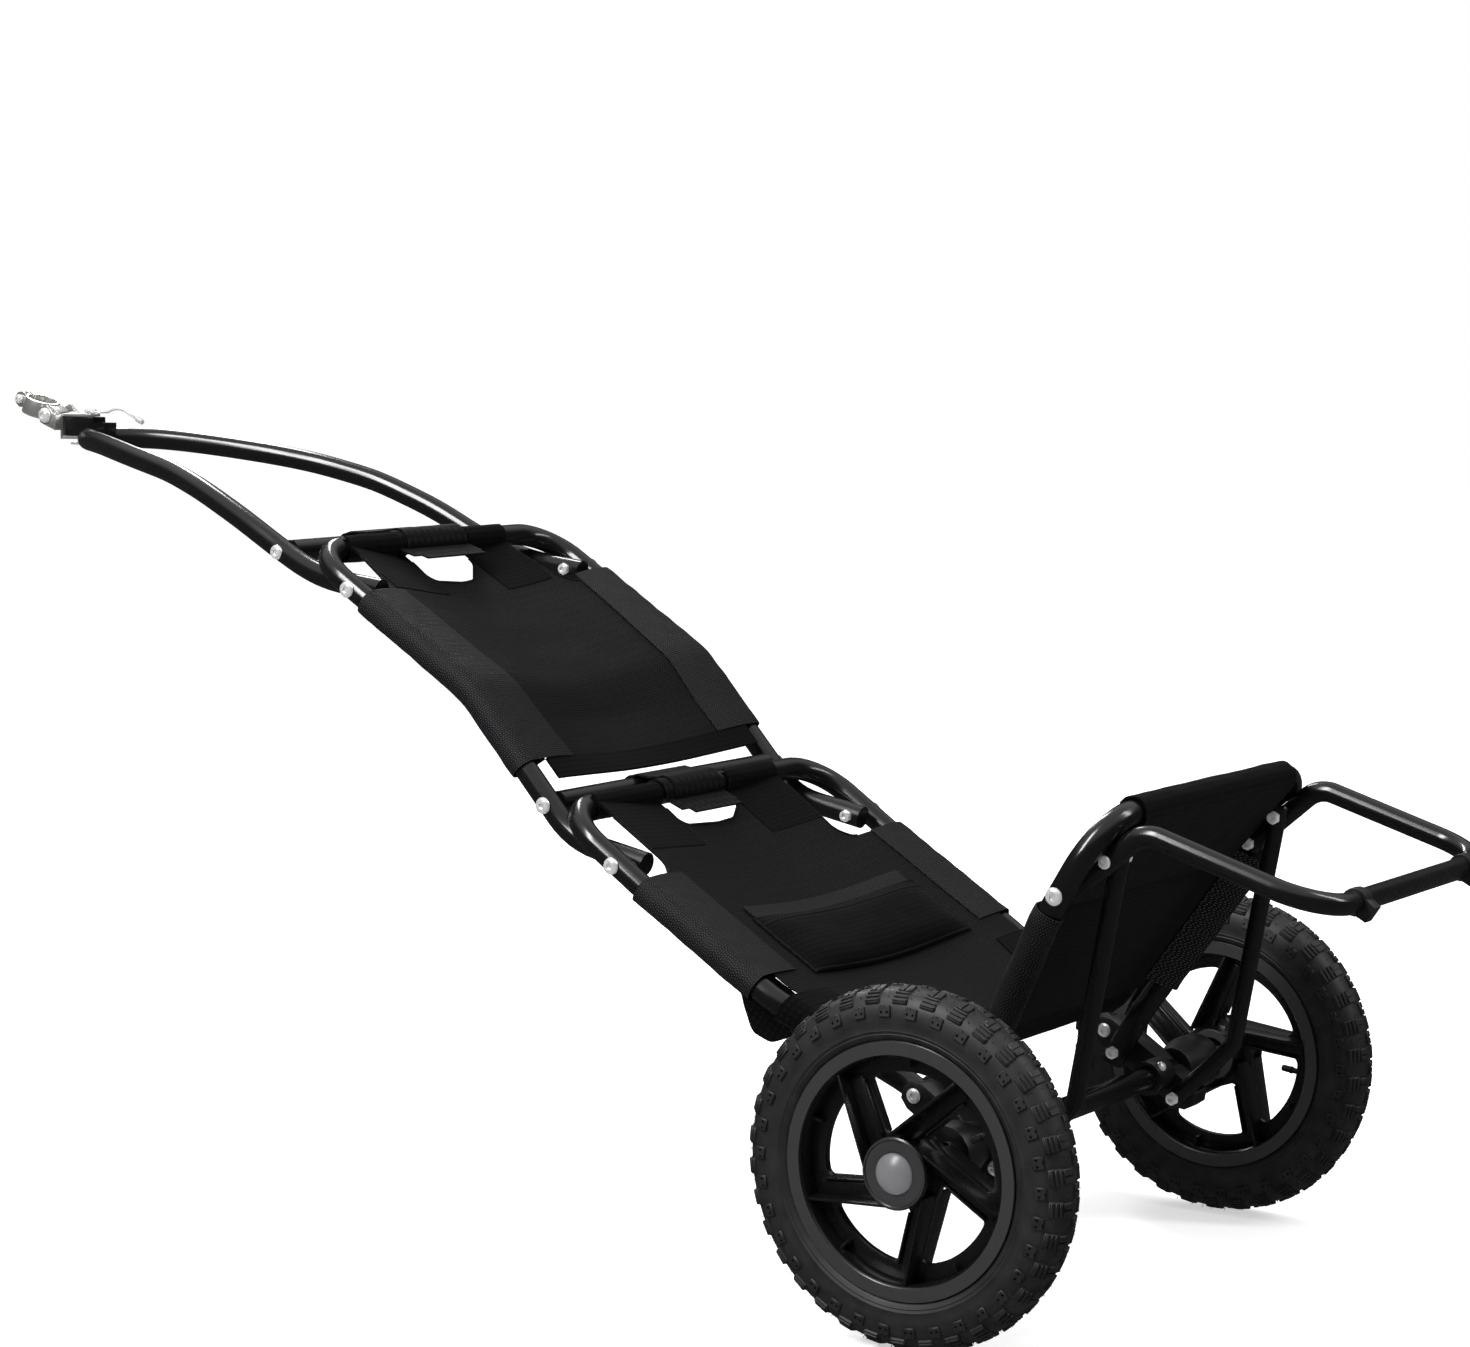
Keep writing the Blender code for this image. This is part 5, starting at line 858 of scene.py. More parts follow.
def treadBlock(size, kind):
    width, length, height = size
    block = slab((-width / 2, -length / 2, -0.002), (width / 2, length / 2, height), 0.0008, 1)
    if kind == "side":
        for x in (-0.0027, 0.0027):
            cutAway(block, cylinder((x, 0.0008, height), (0, 0, 1), 0.0013, 0.003, 8))
        cutAway(block, cylinder((0.0, -length * 0.55, height), (0, 0, 1), 0.0018, 0.004, 8))
    if kind == "shoulder":
        bars = [block]
        for y in (-0.0040, 0.0, 0.0040):
            bars.append(slab((-width * 0.46, y - 0.0011, height - 0.001),
                             (width * 0.46, y + 0.0011, height + 0.0014), 0.0005, 1))
        block = joinAll("bars", bars)
    if kind == "crown":
        cutAway(block, slab((-0.0008, -0.02, height - 0.0014), (0.0008, 0.02, height + 0.01)))
    return block


def lay(mesh, lean, radius, width, face, turn):
    # a block or hair, leant over the crown, then turned to its place round the tyre
    mesh.transform(Matrix.Rotation(math.radians(lean), 4, "Y"))
    mesh.transform(Matrix.Translation((radius, 0.0, width)))
    if face < 0:
        flipFace(mesh)
    mesh.transform(Matrix.Rotation(turn, 4, "Z"))


def tyre(label, side):
    t = tyreSizes
    edge = [(0.1065, 0.0135), (0.1090, 0.0172), (0.1112, 0.0196), (0.1135, 0.0206), (0.1150, 0.0214),
            (0.1158, 0.0211), (0.1170, 0.0216), (0.1182, 0.0222), (0.1190, 0.0219), (0.1245, t["half"]),
            (0.1310, t["half"]), (0.1370, 0.0218), (0.1422, 0.0197), (0.1466, 0.0165), (0.1497, 0.0124),
            (0.1516, 0.0072), (0.1523, 0.0)]
    inner = [(0.1065, 0.0100), (0.1200, 0.0180), (0.1330, 0.0180), (0.1450, 0.0100)]
    section = edge + [(r, -w) for r, w in reversed(edge[:-1])] + [(r, -w) for r, w in inner]
    section += [(r, w) for r, w in reversed(inner)] + [edge[0]]
    parts = [turned(section, *drawnAxis, 136)]
    for kind, size, radius, width, lean, shift in t["rows"]:
        block = treadBlock(size, kind)
        block.data.transform(Matrix.Rotation(math.pi / 2, 4, "Z"))
        for face in (-1, 1):
            for k in range(t["blocks"]):
                stagger = shift + (0.5 if kind == "crown" and face > 0 else 0.0)
                copy = bpy.data.objects.new("block", block.data.copy())
                bpy.context.scene.collection.objects.link(copy)
                lay(copy.data, lean, radius, width, face, 2 * math.pi * (k + stagger) / t["blocks"])
                parts.append(copy)
        bpy.data.objects.remove(block)
    for k in range(2 * t["blocks"]):        # the little hairs that the mould's vents leave
        for lean, radius, width in t["hairRows"]:
            for face in (-1, 1):
                hair = cylinder(*drawnAxis, 0.00045, t["hair"], 3, 0.00012)
                hair.data.transform(Matrix.Translation((0, 0, t["hair"] * 0.5)))
                turn = math.pi * (k + 0.3 * math.sin(k * 5.1 + lean)) / t["blocks"]
                lay(hair.data, lean + 4 * math.sin(k * 2.3), radius, width, face, turn)
                parts.append(hair)
    whole = smooth(joinAll("tyre", parts), 38)
    whole.data.transform(Matrix.Translation(inPlane(axle, side * wheelY)) @ seenFromLeft)
    dressNode(whole, f"tyre_{label}", f"wheel_{label}", rubber)


def wheels():
    w = wheelSizes
    r, rise = w["capRadius"], w["capRise"]
    ball = (r * r + rise * rise) / (2 * rise)
    widest = math.asin(r / ball)
    turns = [widest * i / 9 for i in range(9)]
    dome = [(ball * math.sin(a), ball * math.cos(a) - ball + rise) for a in turns]
    cap = dome + [(r - 0.0003, 0.0002), (r, -0.0006), (r, -0.0040), (0.0, -0.0040)]
    valve = [(0.0, 0.030), (0.0026, 0.030), (0.0032, 0.0285), (0.0032, 0.0215), (0.0036, 0.021),
             (0.0036, 0.0195), (0.0028, 0.019), (0.0028, 0.0100), (0.0040, 0.0090), (0.0042, 0.0), (0.0, 0.0)]
    for label, side in sides.items():
        wheelRim(label, side)
        tyre(label, side)
        face = inPlane(axle, side * (wheelY + w["hubFace"]))
        dressNode(turned(cap, face, Vector((0, side, 0)), 64), f"hub_cap_{label}", f"wheel_{label}",
                  capNylon)
        outward = ray(w["valve"][label])
        foot = inPlane(axle, side * wheelY) + outward * w["valveFoot"]
        dressNode(turned(valve, foot, -outward, 24), f"valve_{label}", f"wheel_{label}",
                  footNylon)


wheels()
print("wheels made")


# Cloth
def setClothMap(obj, coordinate):
    # coordinate says where a vertex lies on the flat cloth
    layer = obj.data.uv_layers.get("cloth") or obj.data.uv_layers.new(name="cloth")
    for loop in obj.data.loops:
        layer.data[loop.index].uv = coordinate(obj.data.vertices[loop.vertex_index])


def clothGrid(rows, columns):
    deselect()
    bpy.ops.mesh.primitive_grid_add(x_subdivisions=rows, y_subdivisions=columns, size=2.0)
    return bpy.context.object


def gridPlace(vertex, rows, columns):
    return round((vertex.co.x + 1) / 2 * rows), round((vertex.co.y + 1) / 2 * columns)


def clothPiece(startS, endS, startY, endY, thickness, surface, cutOutlines=(), step=0.006):
    # a flat cut of cloth, trimmed to its outline, then laid onto its surface
    obj = clothGrid(max(2, round((endS - startS) / step)), max(2, round((endY - startY) / step)))
    for vertex in obj.data.vertices:
        vertex.co.x = startS + (endS - startS) * (vertex.co.x + 1) / 2
        vertex.co.y = startY + (endY - startY) * (vertex.co.y + 1) / 2
    addModifier(obj, "SOLIDIFY", thickness=1.0, offset=0.0)
    for outline in cutOutlines:
        cutAway(obj, prism(outline, 2.0))
    setClothMap(obj, lambda vertex: (vertex.co.x, vertex.co.y))
    near = 0.0006
    for vertex in obj.data.vertices:
        s, y, level = vertex.co
        here = surface(s, y)
        alongS = surface(s + near, y) - surface(s - near, y)
        alongY = surface(s, y + near) - surface(s, y - near)
        normal = alongS.cross(alongY).normalized()
        if normal.z < 0:
            normal = -normal
        vertex.co = here + normal * (thickness * (1 if level > 0 else -1) / 2)
    cleanMesh(obj, 0.0000005)
    return smooth(obj, 50)


def creases(s, y, seed, size):
    broad = noise.noise(Vector((s * 9, y * 7, seed)))
    fine = noise.noise(Vector((s * 34, y * 15, seed + 5.0)))
    return size * (broad * 0.7 + fine * 0.3)


clothSizes = {"rise": 0.0124, "upperSag": 0.022, "upperHem": 0.342, "lowerSag": 0.016, "patchEnd": 0.366,
              "slingTop": 0.151, "slingHalf": 0.130, "slingEnd": 0.0705, "slingLength": 0.135,
              "seatSag": 0.006, "seatStart": 0.067, "sleeve": 0.0136, "sleeveThick": 0.0015,
              "seamInset": 0.021, "edge": 0.0130, "upperEase": 0.12, "lowerEase": 0.10, "seatEase": 0.08,
              "wrap": 0.0132, "wrapThick": 0.0018, "wrapTurns": (70, -200)}


def upperSurface(s, y):
    c = clothSizes
    half = sizes["upperHalf"]
    share = min(abs(y) / half, 1.0)
    ease = min(1.0, max(0.0, (c["upperHem"] + 0.05 - s) / c["upperEase"]))
    sag = c["upperSag"] * ease * (1 - share * share) ** 2
    fold = creases(s, y, 1.0, 0.0022) * (1 - share ** 4)
    base = upperRail.at(s) + upperRail.up(s) * (c["rise"] - sag + fold)
    return inPlane(base, y)


def lowerSurface(s, y):
    c = clothSizes
    share = min(abs(y) / lowerHalf(s), 1.0)
    ease = min(1.0, max(0.0, (c["patchEnd"] - s) / c["lowerEase"]))
    sag = c["lowerSag"] * ease * (1 - share * share) ** 2
    fold = creases(s, y, 3.0, 0.0016) * (1 - share ** 4)
    base = lowerRail.at(s) + lowerRail.up(s) * (c["rise"] - sag + fold)
    return inPlane(base, y)


def slingSurface(s, y):
    # s runs from 0 at the lower panel's end to 1 at the seat
    c = clothSizes
    start = lowerRail.at(c["patchEnd"]) + lowerRail.up(c["patchEnd"]) * c["rise"]
    end = seatHinge + seatDir * c["slingEnd"] + seatUp * c["rise"]
    corner = seatHinge + Vector((-0.004, 0.0, 0.017))
    base = start * (1 - s) ** 2 + corner * (2 * s * (1 - s)) + end * s ** 2
    fold = noise.noise(Vector((s * 3.0, y * 16, 8.0))) * 0.0018
    return inPlane(base + seatUp * fold, y)


def seatSurface(s, y):
    c = clothSizes
    share = min(abs(y) / seatHalf(s), 1.0)
    ease = min(1.0, max(0.0, (s - c["seatStart"]) / c["seatEase"]))
    sag = c["seatSag"] * ease * (1 - share * share) ** 2
    fold = creases(s, y, 6.0, 0.0016) * (1 - share ** 4)
    return inPlane(seatRail.at(s) + seatUp * (c["rise"] - sag + fold), y)


def mirrorOutline(outline):
    return [(s, -y) for s, y in reversed(outline)]


def flatRound(points, radii):
    return [(p.x, p.y) for p in roundPath([Vector((x, y, 0.0)) for x, y in points], radii, 12)]


def clothFinish(obj, name, body, material, replaced=()):
    finishPiece(obj, name, body, material, replaced)
    return obj


def sleevePiece(side, startS, endS, halfAt, railOf, surface, innerAt):
    # a sleeve round one rail: from the flat seam on top, over the tube, and back to the seam below
    radius = clothSizes["sleeve"]
    rows = max(3, round((endS - startS) / 0.006))
    topCount, arcCount, backCount = 7, 14, 5
    columns = topCount + arcCount + backCount
    obj = clothGrid(rows, columns)
    travel = {}
    for vertex in obj.data.vertices:
        i, j = gridPlace(vertex, rows, columns)
        s = startS + (endS - startS) * i / rows
        half, inner = halfAt(s), innerAt(s)
        centre, up = railOf.at(s), railOf.up(s)
        reach = radius + 0.0009 * noise.noise(Vector((s * 60, j * 0.35, side * 4.0)))
        if j <= topCount:
            share = j / topCount
            y = inner + (half - inner) * j / topCount
            spot = surface(s, side * y) + up * 0.0011
            lift = (spot - inPlane(centre, spot.y)).dot(up)
            height = lift * (1 - share) + reach * share
            travelled = y - inner
        elif j <= topCount + arcCount:
            turn = math.pi * (j - topCount) / arcCount
            y = half + reach * math.sin(turn)
            height = reach * math.cos(turn)
            travelled = (half - inner) + radius * turn
        else:
            share = (j - topCount - arcCount) / backCount
            seam = half - clothSizes["seamInset"]
            y = half + (seam - half) * share
            top = (surface(s, side * seam) - inPlane(centre, side * seam)).dot(up) - 0.002
            height = -radius + (top + radius) * share ** 1.3
            travelled = (half - inner) + radius * math.pi + 0.02 * share
        vertex.co = inPlane(centre, side * y) + up * height
        travel[vertex.index] = (s, travelled)
    setClothMap(obj, lambda vertex: travel[vertex.index])
    if side < 0:
        obj.data.flip_normals()
    addModifier(obj, "SOLIDIFY", thickness=clothSizes["sleeveThick"], offset=0.0)
    return smooth(obj, 50)


def barWrap(centre, radius, startY, endY, startTurn, endTurn, thickness, tail=None, seed=0.0):
    # cloth wound round a cross bar; tail is the direction and length of a flat end that leaves it
    steps, tailSteps = 22, 8
    profile = [centre + ray(startTurn + (endTurn - startTurn) * i / steps) * radius for i in range(steps + 1)]
    if tail:
        last, direction = profile[-1], tail[0].normalized()
        profile += [last + direction * (tail[1] * i / tailSteps) for i in range(1, tailSteps + 1)]
    rows, columns = len(profile) - 1, max(2, round((endY - startY) / 0.006))
    obj = clothGrid(rows, columns)
    travel = {}
    lengths = Rail(profile).lengths
    for vertex in obj.data.vertices:
        i, j = gridPlace(vertex, rows, columns)
        y = startY + (endY - startY) * j / columns
        outward = (profile[min(i, steps)] - centre).normalized()
        wave = 0.0006 * noise.noise(Vector((i * 0.3, y * 40, seed)))
        vertex.co = inPlane(profile[i], y) + outward * wave
        travel[vertex.index] = (lengths[i], y)
    setClothMap(obj, lambda vertex: travel[vertex.index])
    addModifier(obj, "SOLIDIFY", thickness=thickness, offset=0.0)
    cleanMesh(obj, 0.0000005)
    return smooth(obj, 50)


def edgeBinding(outline, surface, width=0.0017):
    piece = tubeAlong([surface(s, y) for s, y in outline], width, 2)
    setClothMap(piece, lambda vertex: (vertex.co.x, vertex.co.z + vertex.co.y))
    return piece


# the cloth has slipped a little towards the left on its bars, so its neck and armholes are off centre
upperCut = {"neckLeft": -0.052, "neckRight": 0.042, "neckDepth": 0.058, "left": -0.142, "right": 0.105,
            "armhole": 0.093, "flare": 0.012, "patchEnd": 0.079, "meshHalf": 0.138, "hem": 0.022,
            "sleeveStart": 0.084, "sleeveEnd": 0.320, "sleeveLength": 0.236}


def armholeOutline(edge, outer, depth, flare):
    side = 1 if edge > 0 else -1
    reach = [(-0.05, edge), (0.030, edge), (depth - 0.016, edge + side * flare),
             (depth - 0.001, edge + side * (flare + 0.014)),
             (depth + 0.001, side * (outer + 0.05))]
    return flatRound(reach, [0.05, 0.022, 0.012]) + [(-0.05, side * (outer + 0.05))]


def neckOutline(left, right, depth):
    middle = (left + right) / 2
    return flatRound([(-0.05, left + 0.002), (0.026, left), (depth - 0.003, left - 0.004), (depth, middle),
                      (depth - 0.002, right - 0.028), (0.030, right), (-0.05, right - 0.004)],
                     [0.05, 0.012, 0.06, 0.014, 0.016])


def shoulderPatches(cut, surface, bar, armholes, seed):
    # two patches of plain cloth that run over the bar and back, one on each side of the neck
    c = clothSizes
    left, right = cut["neckLeft"] - 0.001, cut["neckRight"] + 0.001
    between = [(-0.06, left), (0.2, left), (0.2, right), (-0.06, right)]
    parts = [clothPiece(-0.002, cut["patchEnd"], cut["left"] - 0.004, cut["right"] + 0.004, 0.0026, surface,
                        [between, *armholes])]
    for start, end in ((cut["left"], cut["neckLeft"]), (cut["neckRight"], cut["right"])):
        parts.append(barWrap(bar, c["wrap"], start, end, *c["wrapTurns"], c["wrapThick"], seed=seed + start))
    return joinAll("yoke", parts)


def edgeTape(name, body, outlines, surface, outer):
    tape = []
    for outline in outlines:
        tape.append(edgeBinding([p for p in outline if 0.002 < p[0] and abs(p[1]) < outer], surface))
    return finishPiece(smooth(joinAll("tape", tape)), name, body, bindingCloth)


def upperCloth():
    u, c = upperCut, clothSizes
    half = sizes["upperHalf"]
    neck = neckOutline(u["neckLeft"], u["neckRight"], u["neckDepth"])
    armholes = [armholeOutline(u[label], half, u["armhole"], u["flare"]) for label in sides]
    net = clothPiece(0.006, c["upperHem"], -u["meshHalf"] - 0.02, u["meshHalf"] + 0.02, 0.0011, upperSurface,
                     [neck, *armholes], 0.007)
    clothFinish(net, "upperMesh", "upper_frame", openMesh,
                ["upper_panel"])
    patches = shoulderPatches(u, upperSurface, upperBar, armholes, 0.0)
    clothFinish(patches, "upperYoke", "upper_frame", plainCloth)
    edgeTape("upperBinding", "upper_frame", [neck, *armholes], upperSurface, half - 0.012)
    start, length = u["sleeveStart"], u["sleeveLength"]
    for label, side in sides.items():
        sleeve = sleevePiece(side, start, u["sleeveEnd"], upperHalf, upperRail, upperSurface,
                             lambda s: u["meshHalf"] - 0.016 * (s - start) / length)
        clothFinish(sleeve, f"upperSleeve{label.title()}", "upper_frame", sleeveMesh)
    hem = clothPiece(c["upperHem"] - u["hem"], c["upperHem"] + 0.001, -half + 0.02, half - 0.02, 0.0030,
                     upperSurface)
    finishPiece(hem, "upperHem", "upper_frame", plainCloth)


lowerCut = {"neckLeft": -0.072, "neckRight": 0.042, "neckDepth": 0.049, "left": -0.174, "right": 0.126,
            "armhole": 0.112, "flare": -0.003, "patchEnd": 0.076, "sleeveStart": 0.111, "sleeveEnd": 0.256,
            "cornerStart": 0.286, "taperEnd": 0.41}


def lowerCloth():
    u, c = lowerCut, clothSizes
    half, taper, end = sizes["lowerHalf"], sizes["lowerTaper"], u["taperEnd"]
    neck = neckOutline(u["neckLeft"], u["neckRight"], u["neckDepth"])
    armholes = [armholeOutline(u[label], half, u["armhole"], u["flare"]) for label in sides]
    edge = c["edge"]
    taperCut = [(taper, half - edge + 0.001), (end, sizes["lowerFootHalf"] - edge), (end, half + 0.05),
                (taper, half + 0.05)]
    net = clothPiece(0.006, c["patchEnd"], -half + edge, half - edge, 0.0012, lowerSurface,
                     [neck, *armholes, taperCut, mirrorOutline(taperCut)], 0.007)
    clothFinish(net, "lowerMesh", "chassis", openMesh,
                ["lower_panel"])
    patches = shoulderPatches(u, lowerSurface, lowerBar, armholes, 3.0)
    clothFinish(patches, "lowerYoke", "chassis", plainCloth)
    edgeTape("lowerBinding", "chassis", [neck, *armholes], lowerSurface, half - 0.012)
    for label, sign in sides.items():
        sleeve = sleevePiece(sign, u["sleeveStart"], u["sleeveEnd"], lowerHalf, lowerRail, lowerSurface,
                             lambda s: lowerHalf(s) - 0.050)
        clothFinish(sleeve, f"lowerSleeve{label.title()}", "chassis", sleeveMesh)
        patch = sleevePiece(sign, u["cornerStart"], c["patchEnd"], lowerHalf, lowerRail, lowerSurface,
                            lambda s: lowerHalf(s) - 0.058)
        clothFinish(patch, f"lowerPatch{label.title()}", "chassis", plainCloth)
        flap(label, sign)
    sling()
    pouch()


flapOutline = ((0.222, 0.008), (0.232, -0.020), (0.245, -0.0335), (0.262, -0.049), (0.283, -0.0455),
               (0.300, -0.024), (0.300, 0.008))


def flap(label, sign):
    # the loose end of cloth that hangs inside the lower rail, pulled to a rounded corner
    y = sizes["lowerHalf"] - sizes["tube"] - 0.004
    middle, depth = flapOutline[3]
    obj = prism(flatRound(flapOutline, [0.02, 0.03, 0.012, 0.012, 0.01]), 0.0009)
    setClothMap(obj, lambda vertex: (vertex.co.x, vertex.co.y))
    slope, up = lowerRail.slope(middle), lowerRail.up(middle)
    base = lowerRail.at(middle)
    for vertex in obj.data.vertices:
        s, level, side = vertex.co
        curl = 0.006 * (level / depth) ** 2 if level < 0 else 0.0
        inward = max(0.0, s - sizes["lowerTaper"]) * 0.26
        vertex.co = inPlane(base + slope * (s - middle) + up * level, sign * (y + side - curl - inward))
    cleanMesh(obj)
    finishPiece(smooth(obj, 50), f"frameFlap{label.title()}", "chassis", plainCloth)


def blendAtHinge(obj):
    obj.parent = None
    slingSurface(0.1, 0.0)
    slingSurface(0.95, 0.0)
    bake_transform(obj)


def sling():
    top = clothSizes["slingTop"]
    narrowing = clothSizes["slingHalf"] - top
    cloth = clothPiece(0.0, 1.0, -1.0, 1.0, 0.0014,
                       lambda s, y: slingSurface(min(max(s, 0.0), 1.0), y * (top + narrowing * s)), step=0.04)
    clothFinish(cloth, "slingMesh", "chassis", openMesh)
    blendAtHinge(cloth)
    piping = []
    for sign in (-1, 1):
        line = [slingSurface(i / 20, sign * (top + narrowing * i / 20)) for i in range(21)]
        piping.append(tubeAlong(line, 0.0024, 4))
    cord = joinAll("piping", piping)
    setClothMap(cord, lambda vertex: (vertex.co.x, vertex.co.y + vertex.co.z))
    finishPiece(cord, "slingPiping", "chassis", bindingCloth)
    blendAtHinge(cord)


pouchSizes = {"start": 0.184, "end": 0.264, "half": 0.138, "depth": 0.011, "hem": 0.012, "lift": 0.0022,
              "piping": 0.0015}


def pouch():
    p = pouchSizes
    start, end, half, lift = p["start"], p["end"], p["half"], p["lift"]

    def front(s, y):
        a = (s - start) / (end - start)
        b = abs(y) / half
        crown = max(0.0, 1 - (2 * a - 1) ** 4) * max(0.0, 1 - b ** 6)
        fold = 0.0012 * noise.noise(Vector((s * 50, y * 30, 2.0)))
        return lowerSurface(s, y) + lowerRail.up(s) * (lift + p["depth"] * crown + fold * crown)

    body = clothPiece(start, end, -half, half, 0.0016, front, step=0.005)
    clothFinish(body, "pouchFront", "chassis", plainCloth,
                ["pouch"])
    outlines = [[(s, -half + 2 * half * i / 40) for i in range(41)]
                for s in (start + 0.002, start + p["hem"], end - 0.002)]
    outlines += [[(start + (end - start) * i / 20, y) for i in range(21)] for y in (-half, half)]
    trims = [edgeBinding(outline, front, p["piping"]) for outline in outlines]
    finishPiece(smooth(joinAll("trim", trims)), "pouchPiping", "chassis", bindingCloth)
    top = clothPiece(start - 0.016, start + 0.004, -half + 0.004, half - 0.004, 0.0014,
                     lambda s, y: lowerSurface(s, y) + lowerRail.up(s) * lift)
    finishPiece(top, "pouchMeshEdge", "chassis", sleeveMesh)


# the wrap's end and what goes back under the seat turn from the seat's own slope, in degrees
seatCut = {"side": 0.017, "tuck": 0.0032, "cornerStart": 0.222, "wrap": 0.0134, "wrapStart": 150,
           "wrapEnd": -104.0, "underTurn": 170.5, "underLength": 0.094, "sleeveStart": 0.080,
           "sleeveEnd": 0.221}


def seatCloth():
    cut = seatCut
    half, run, bend, slope = sizes["seatHalf"], sizes["seatRun"], sizes["seatCorner"], sizes["seatSlope"]
    barHalf = half - bend + 0.002
    outer, start, side = half + 0.05, cut["cornerStart"], half - cut["side"]
    foot = seatHalf(0.0) - cut["side"]
    # the sheet's corners follow the inside of the loop's bends
    reach = bend - sizes["tube"] - cut["tuck"]
    turns = [math.radians(degrees) for degrees in (0, 15, 30, 45, 60, 72)]
    arc = [(run - bend + reach * math.sin(a), half - bend + reach * math.cos(a)) for a in turns]
    corner = [(start, outer), (start, arc[0][1])] + arc
    corner += [(run - 0.012, barHalf), (run + 0.05, barHalf), (run + 0.05, outer)]
    taper = [(0.0, foot), (sizes["seatStraight"], foot), (sizes["seatTaper"], side), (start, side),
             (start, outer), (0.0, outer)]
    sheet = clothPiece(clothSizes["seatStart"], run - 0.002, -half, half, 0.0017, seatSurface,
                       [corner, mirrorOutline(corner), taper, mirrorOutline(taper)])
    # over the bar and back under the seat, ending in a hem against the sheet
    wrap = barWrap(seatBar, cut["wrap"], -barHalf, barHalf, cut["wrapStart"], slope + cut["wrapEnd"], 0.0018,
                   (ray(slope + cut["underTurn"]), cut["underLength"]), seed=9.0)
    clothFinish(joinAll("seatSheet", [sheet, wrap]), "seatCover", "seat", plainCloth,
                ["seat_sheet"])
    for label, side in sides.items():
        sleeve = sleevePiece(side, cut["sleeveStart"], cut["sleeveEnd"], seatHalf, seatRail, seatSurface,
                             lambda s: seatHalf(s) - 0.034)
        clothFinish(sleeve, f"seatSleeve{label.title()}", "seat", sleeveMesh)


# layers are (radius round the bar, length of the end that sticks out)
strapSizes = {"layers": ((0.0130, 0.020), (0.0152, 0.026)), "rise": 0.0150, "sag": 0.002, "farRadius": 0.0128}


def straps():
    size = strapSizes
    cross = nodeCentre("drawbar_cross_tube")
    for bar, other, low, high, body, node in (
            (upperBar, cross, -0.068, 0.041, "upper_frame", "drawbar_strap"),
            (lowerBar, crossTube, -0.064, 0.030, "chassis", "frame_strap")):
        ahead = inPlane(other - bar).normalized()
        up = Vector((-ahead.z, 0.0, ahead.x))
        if up.z < 0:
            up = -up
        turn = math.degrees(math.atan2(ahead.z, ahead.x))
        first = turn + (-40 if ahead.x < 0 else 40)
        pieces = []
        for layer, (radius, tail) in enumerate(size["layers"]):
            start, end = (low + 0.012, high - 0.004) if layer else (low, high)
            pieces.append(barWrap(bar, radius, start, end, first, turn - 200, 0.0017,
                                  (-ahead * 0.9 + up * -0.35, tail), seed=layer + 2.0))
        reach = (inPlane(other) - inPlane(bar)).length
        points = [inPlane(bar) + up * size["rise"]]
        for share in (0.15, 0.3, 0.45, 0.6, 0.75, 0.9):
            rise = size["rise"] - size["sag"] * math.sin(math.pi * share)
            points.append(inPlane(bar) + ahead * (reach * share) + up * rise)
        for degrees in (0, 20, 40, 60, 85, 110):
            a, radius = math.radians(degrees), size["farRadius"]
            points.append(inPlane(other) + up * (radius * math.cos(a)) + ahead * (radius * math.sin(a)))
        rail = Rail(points)
        total = rail.lengths[-1]
        pieces.append(clothPiece(0.0, total, low + 0.010, high - 0.004, 0.0018,
                                 lambda s, y: inPlane(rail.at(min(max(s, 0.0), total)), y), step=0.005))
        dressNode(smooth(joinAll("strap", pieces), 50), node, body, webbing)


upperCloth()
lowerCloth()
seatCloth()
straps()
print("cloth laid")


# Hitch
# each head and nut is (radius, height)
hitchSizes = {"pitchHead": (0.0080, 0.0052), "pitchNut": (0.0066, 0.0058), "clampHead": (0.0050, 0.0040),
              "clampNut": (0.0052, 0.0042), "clampShank": 0.0024, "inset": 0.004, "edge": 0.0006}


def hitch():
    h = hitchSizes
    for node, name, body in (("seatpost_clamp", "seatpostClamp", "clamp"),
                             ("clevis", "hitchClevis", "hitch_clevis")):
        finishPiece(nodeCopy(node, h["edge"], 34), name, body, hitchSteel, [node])
    low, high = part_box("pitch_screw")
    centre = inPlane(hitchPitch)
    dressScrew([screwHead(inPlane(centre, low.y + h["pitchHead"][1]), (0, -1, 0), *h["pitchHead"]),
                shank(centre, low.y, high.y, h["inset"]),
                lockNut(inPlane(centre, high.y - h["pitchNut"][1]), (0, 1, 0), *h["pitchNut"])],
               "pitch_screw", "hitch_clevis")
    low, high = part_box("clamp_screw")
    centre = inPlane((low + high) / 2)
    dressScrew([screwHead(inPlane(centre, low.y + h["clampHead"][1]), (0, -1, 0), *h["clampHead"]),
                cylinder(centre, (0, 1, 0), h["clampShank"], high.y - low.y - h["inset"], 20),
                lockNut(inPlane(centre, high.y - h["clampNut"][1]), (0, 1, 0), *h["clampNut"])],
               "clamp_screw", "clamp")
    for node, name, body, slot in (("hitch_pin", "hitchPin", "hitch_pin", "bright_steel"),
                                   ("r_clip", "pinClip", "r_clip", "bright_steel"),
                                   ("pin_lanyard", "pinLanyard", "hitch_pin", "wire")):
        finishPiece(nodeCopy(node, 0.0, 40), name, body, zinc, [node])


hitch()
print("hitch made")


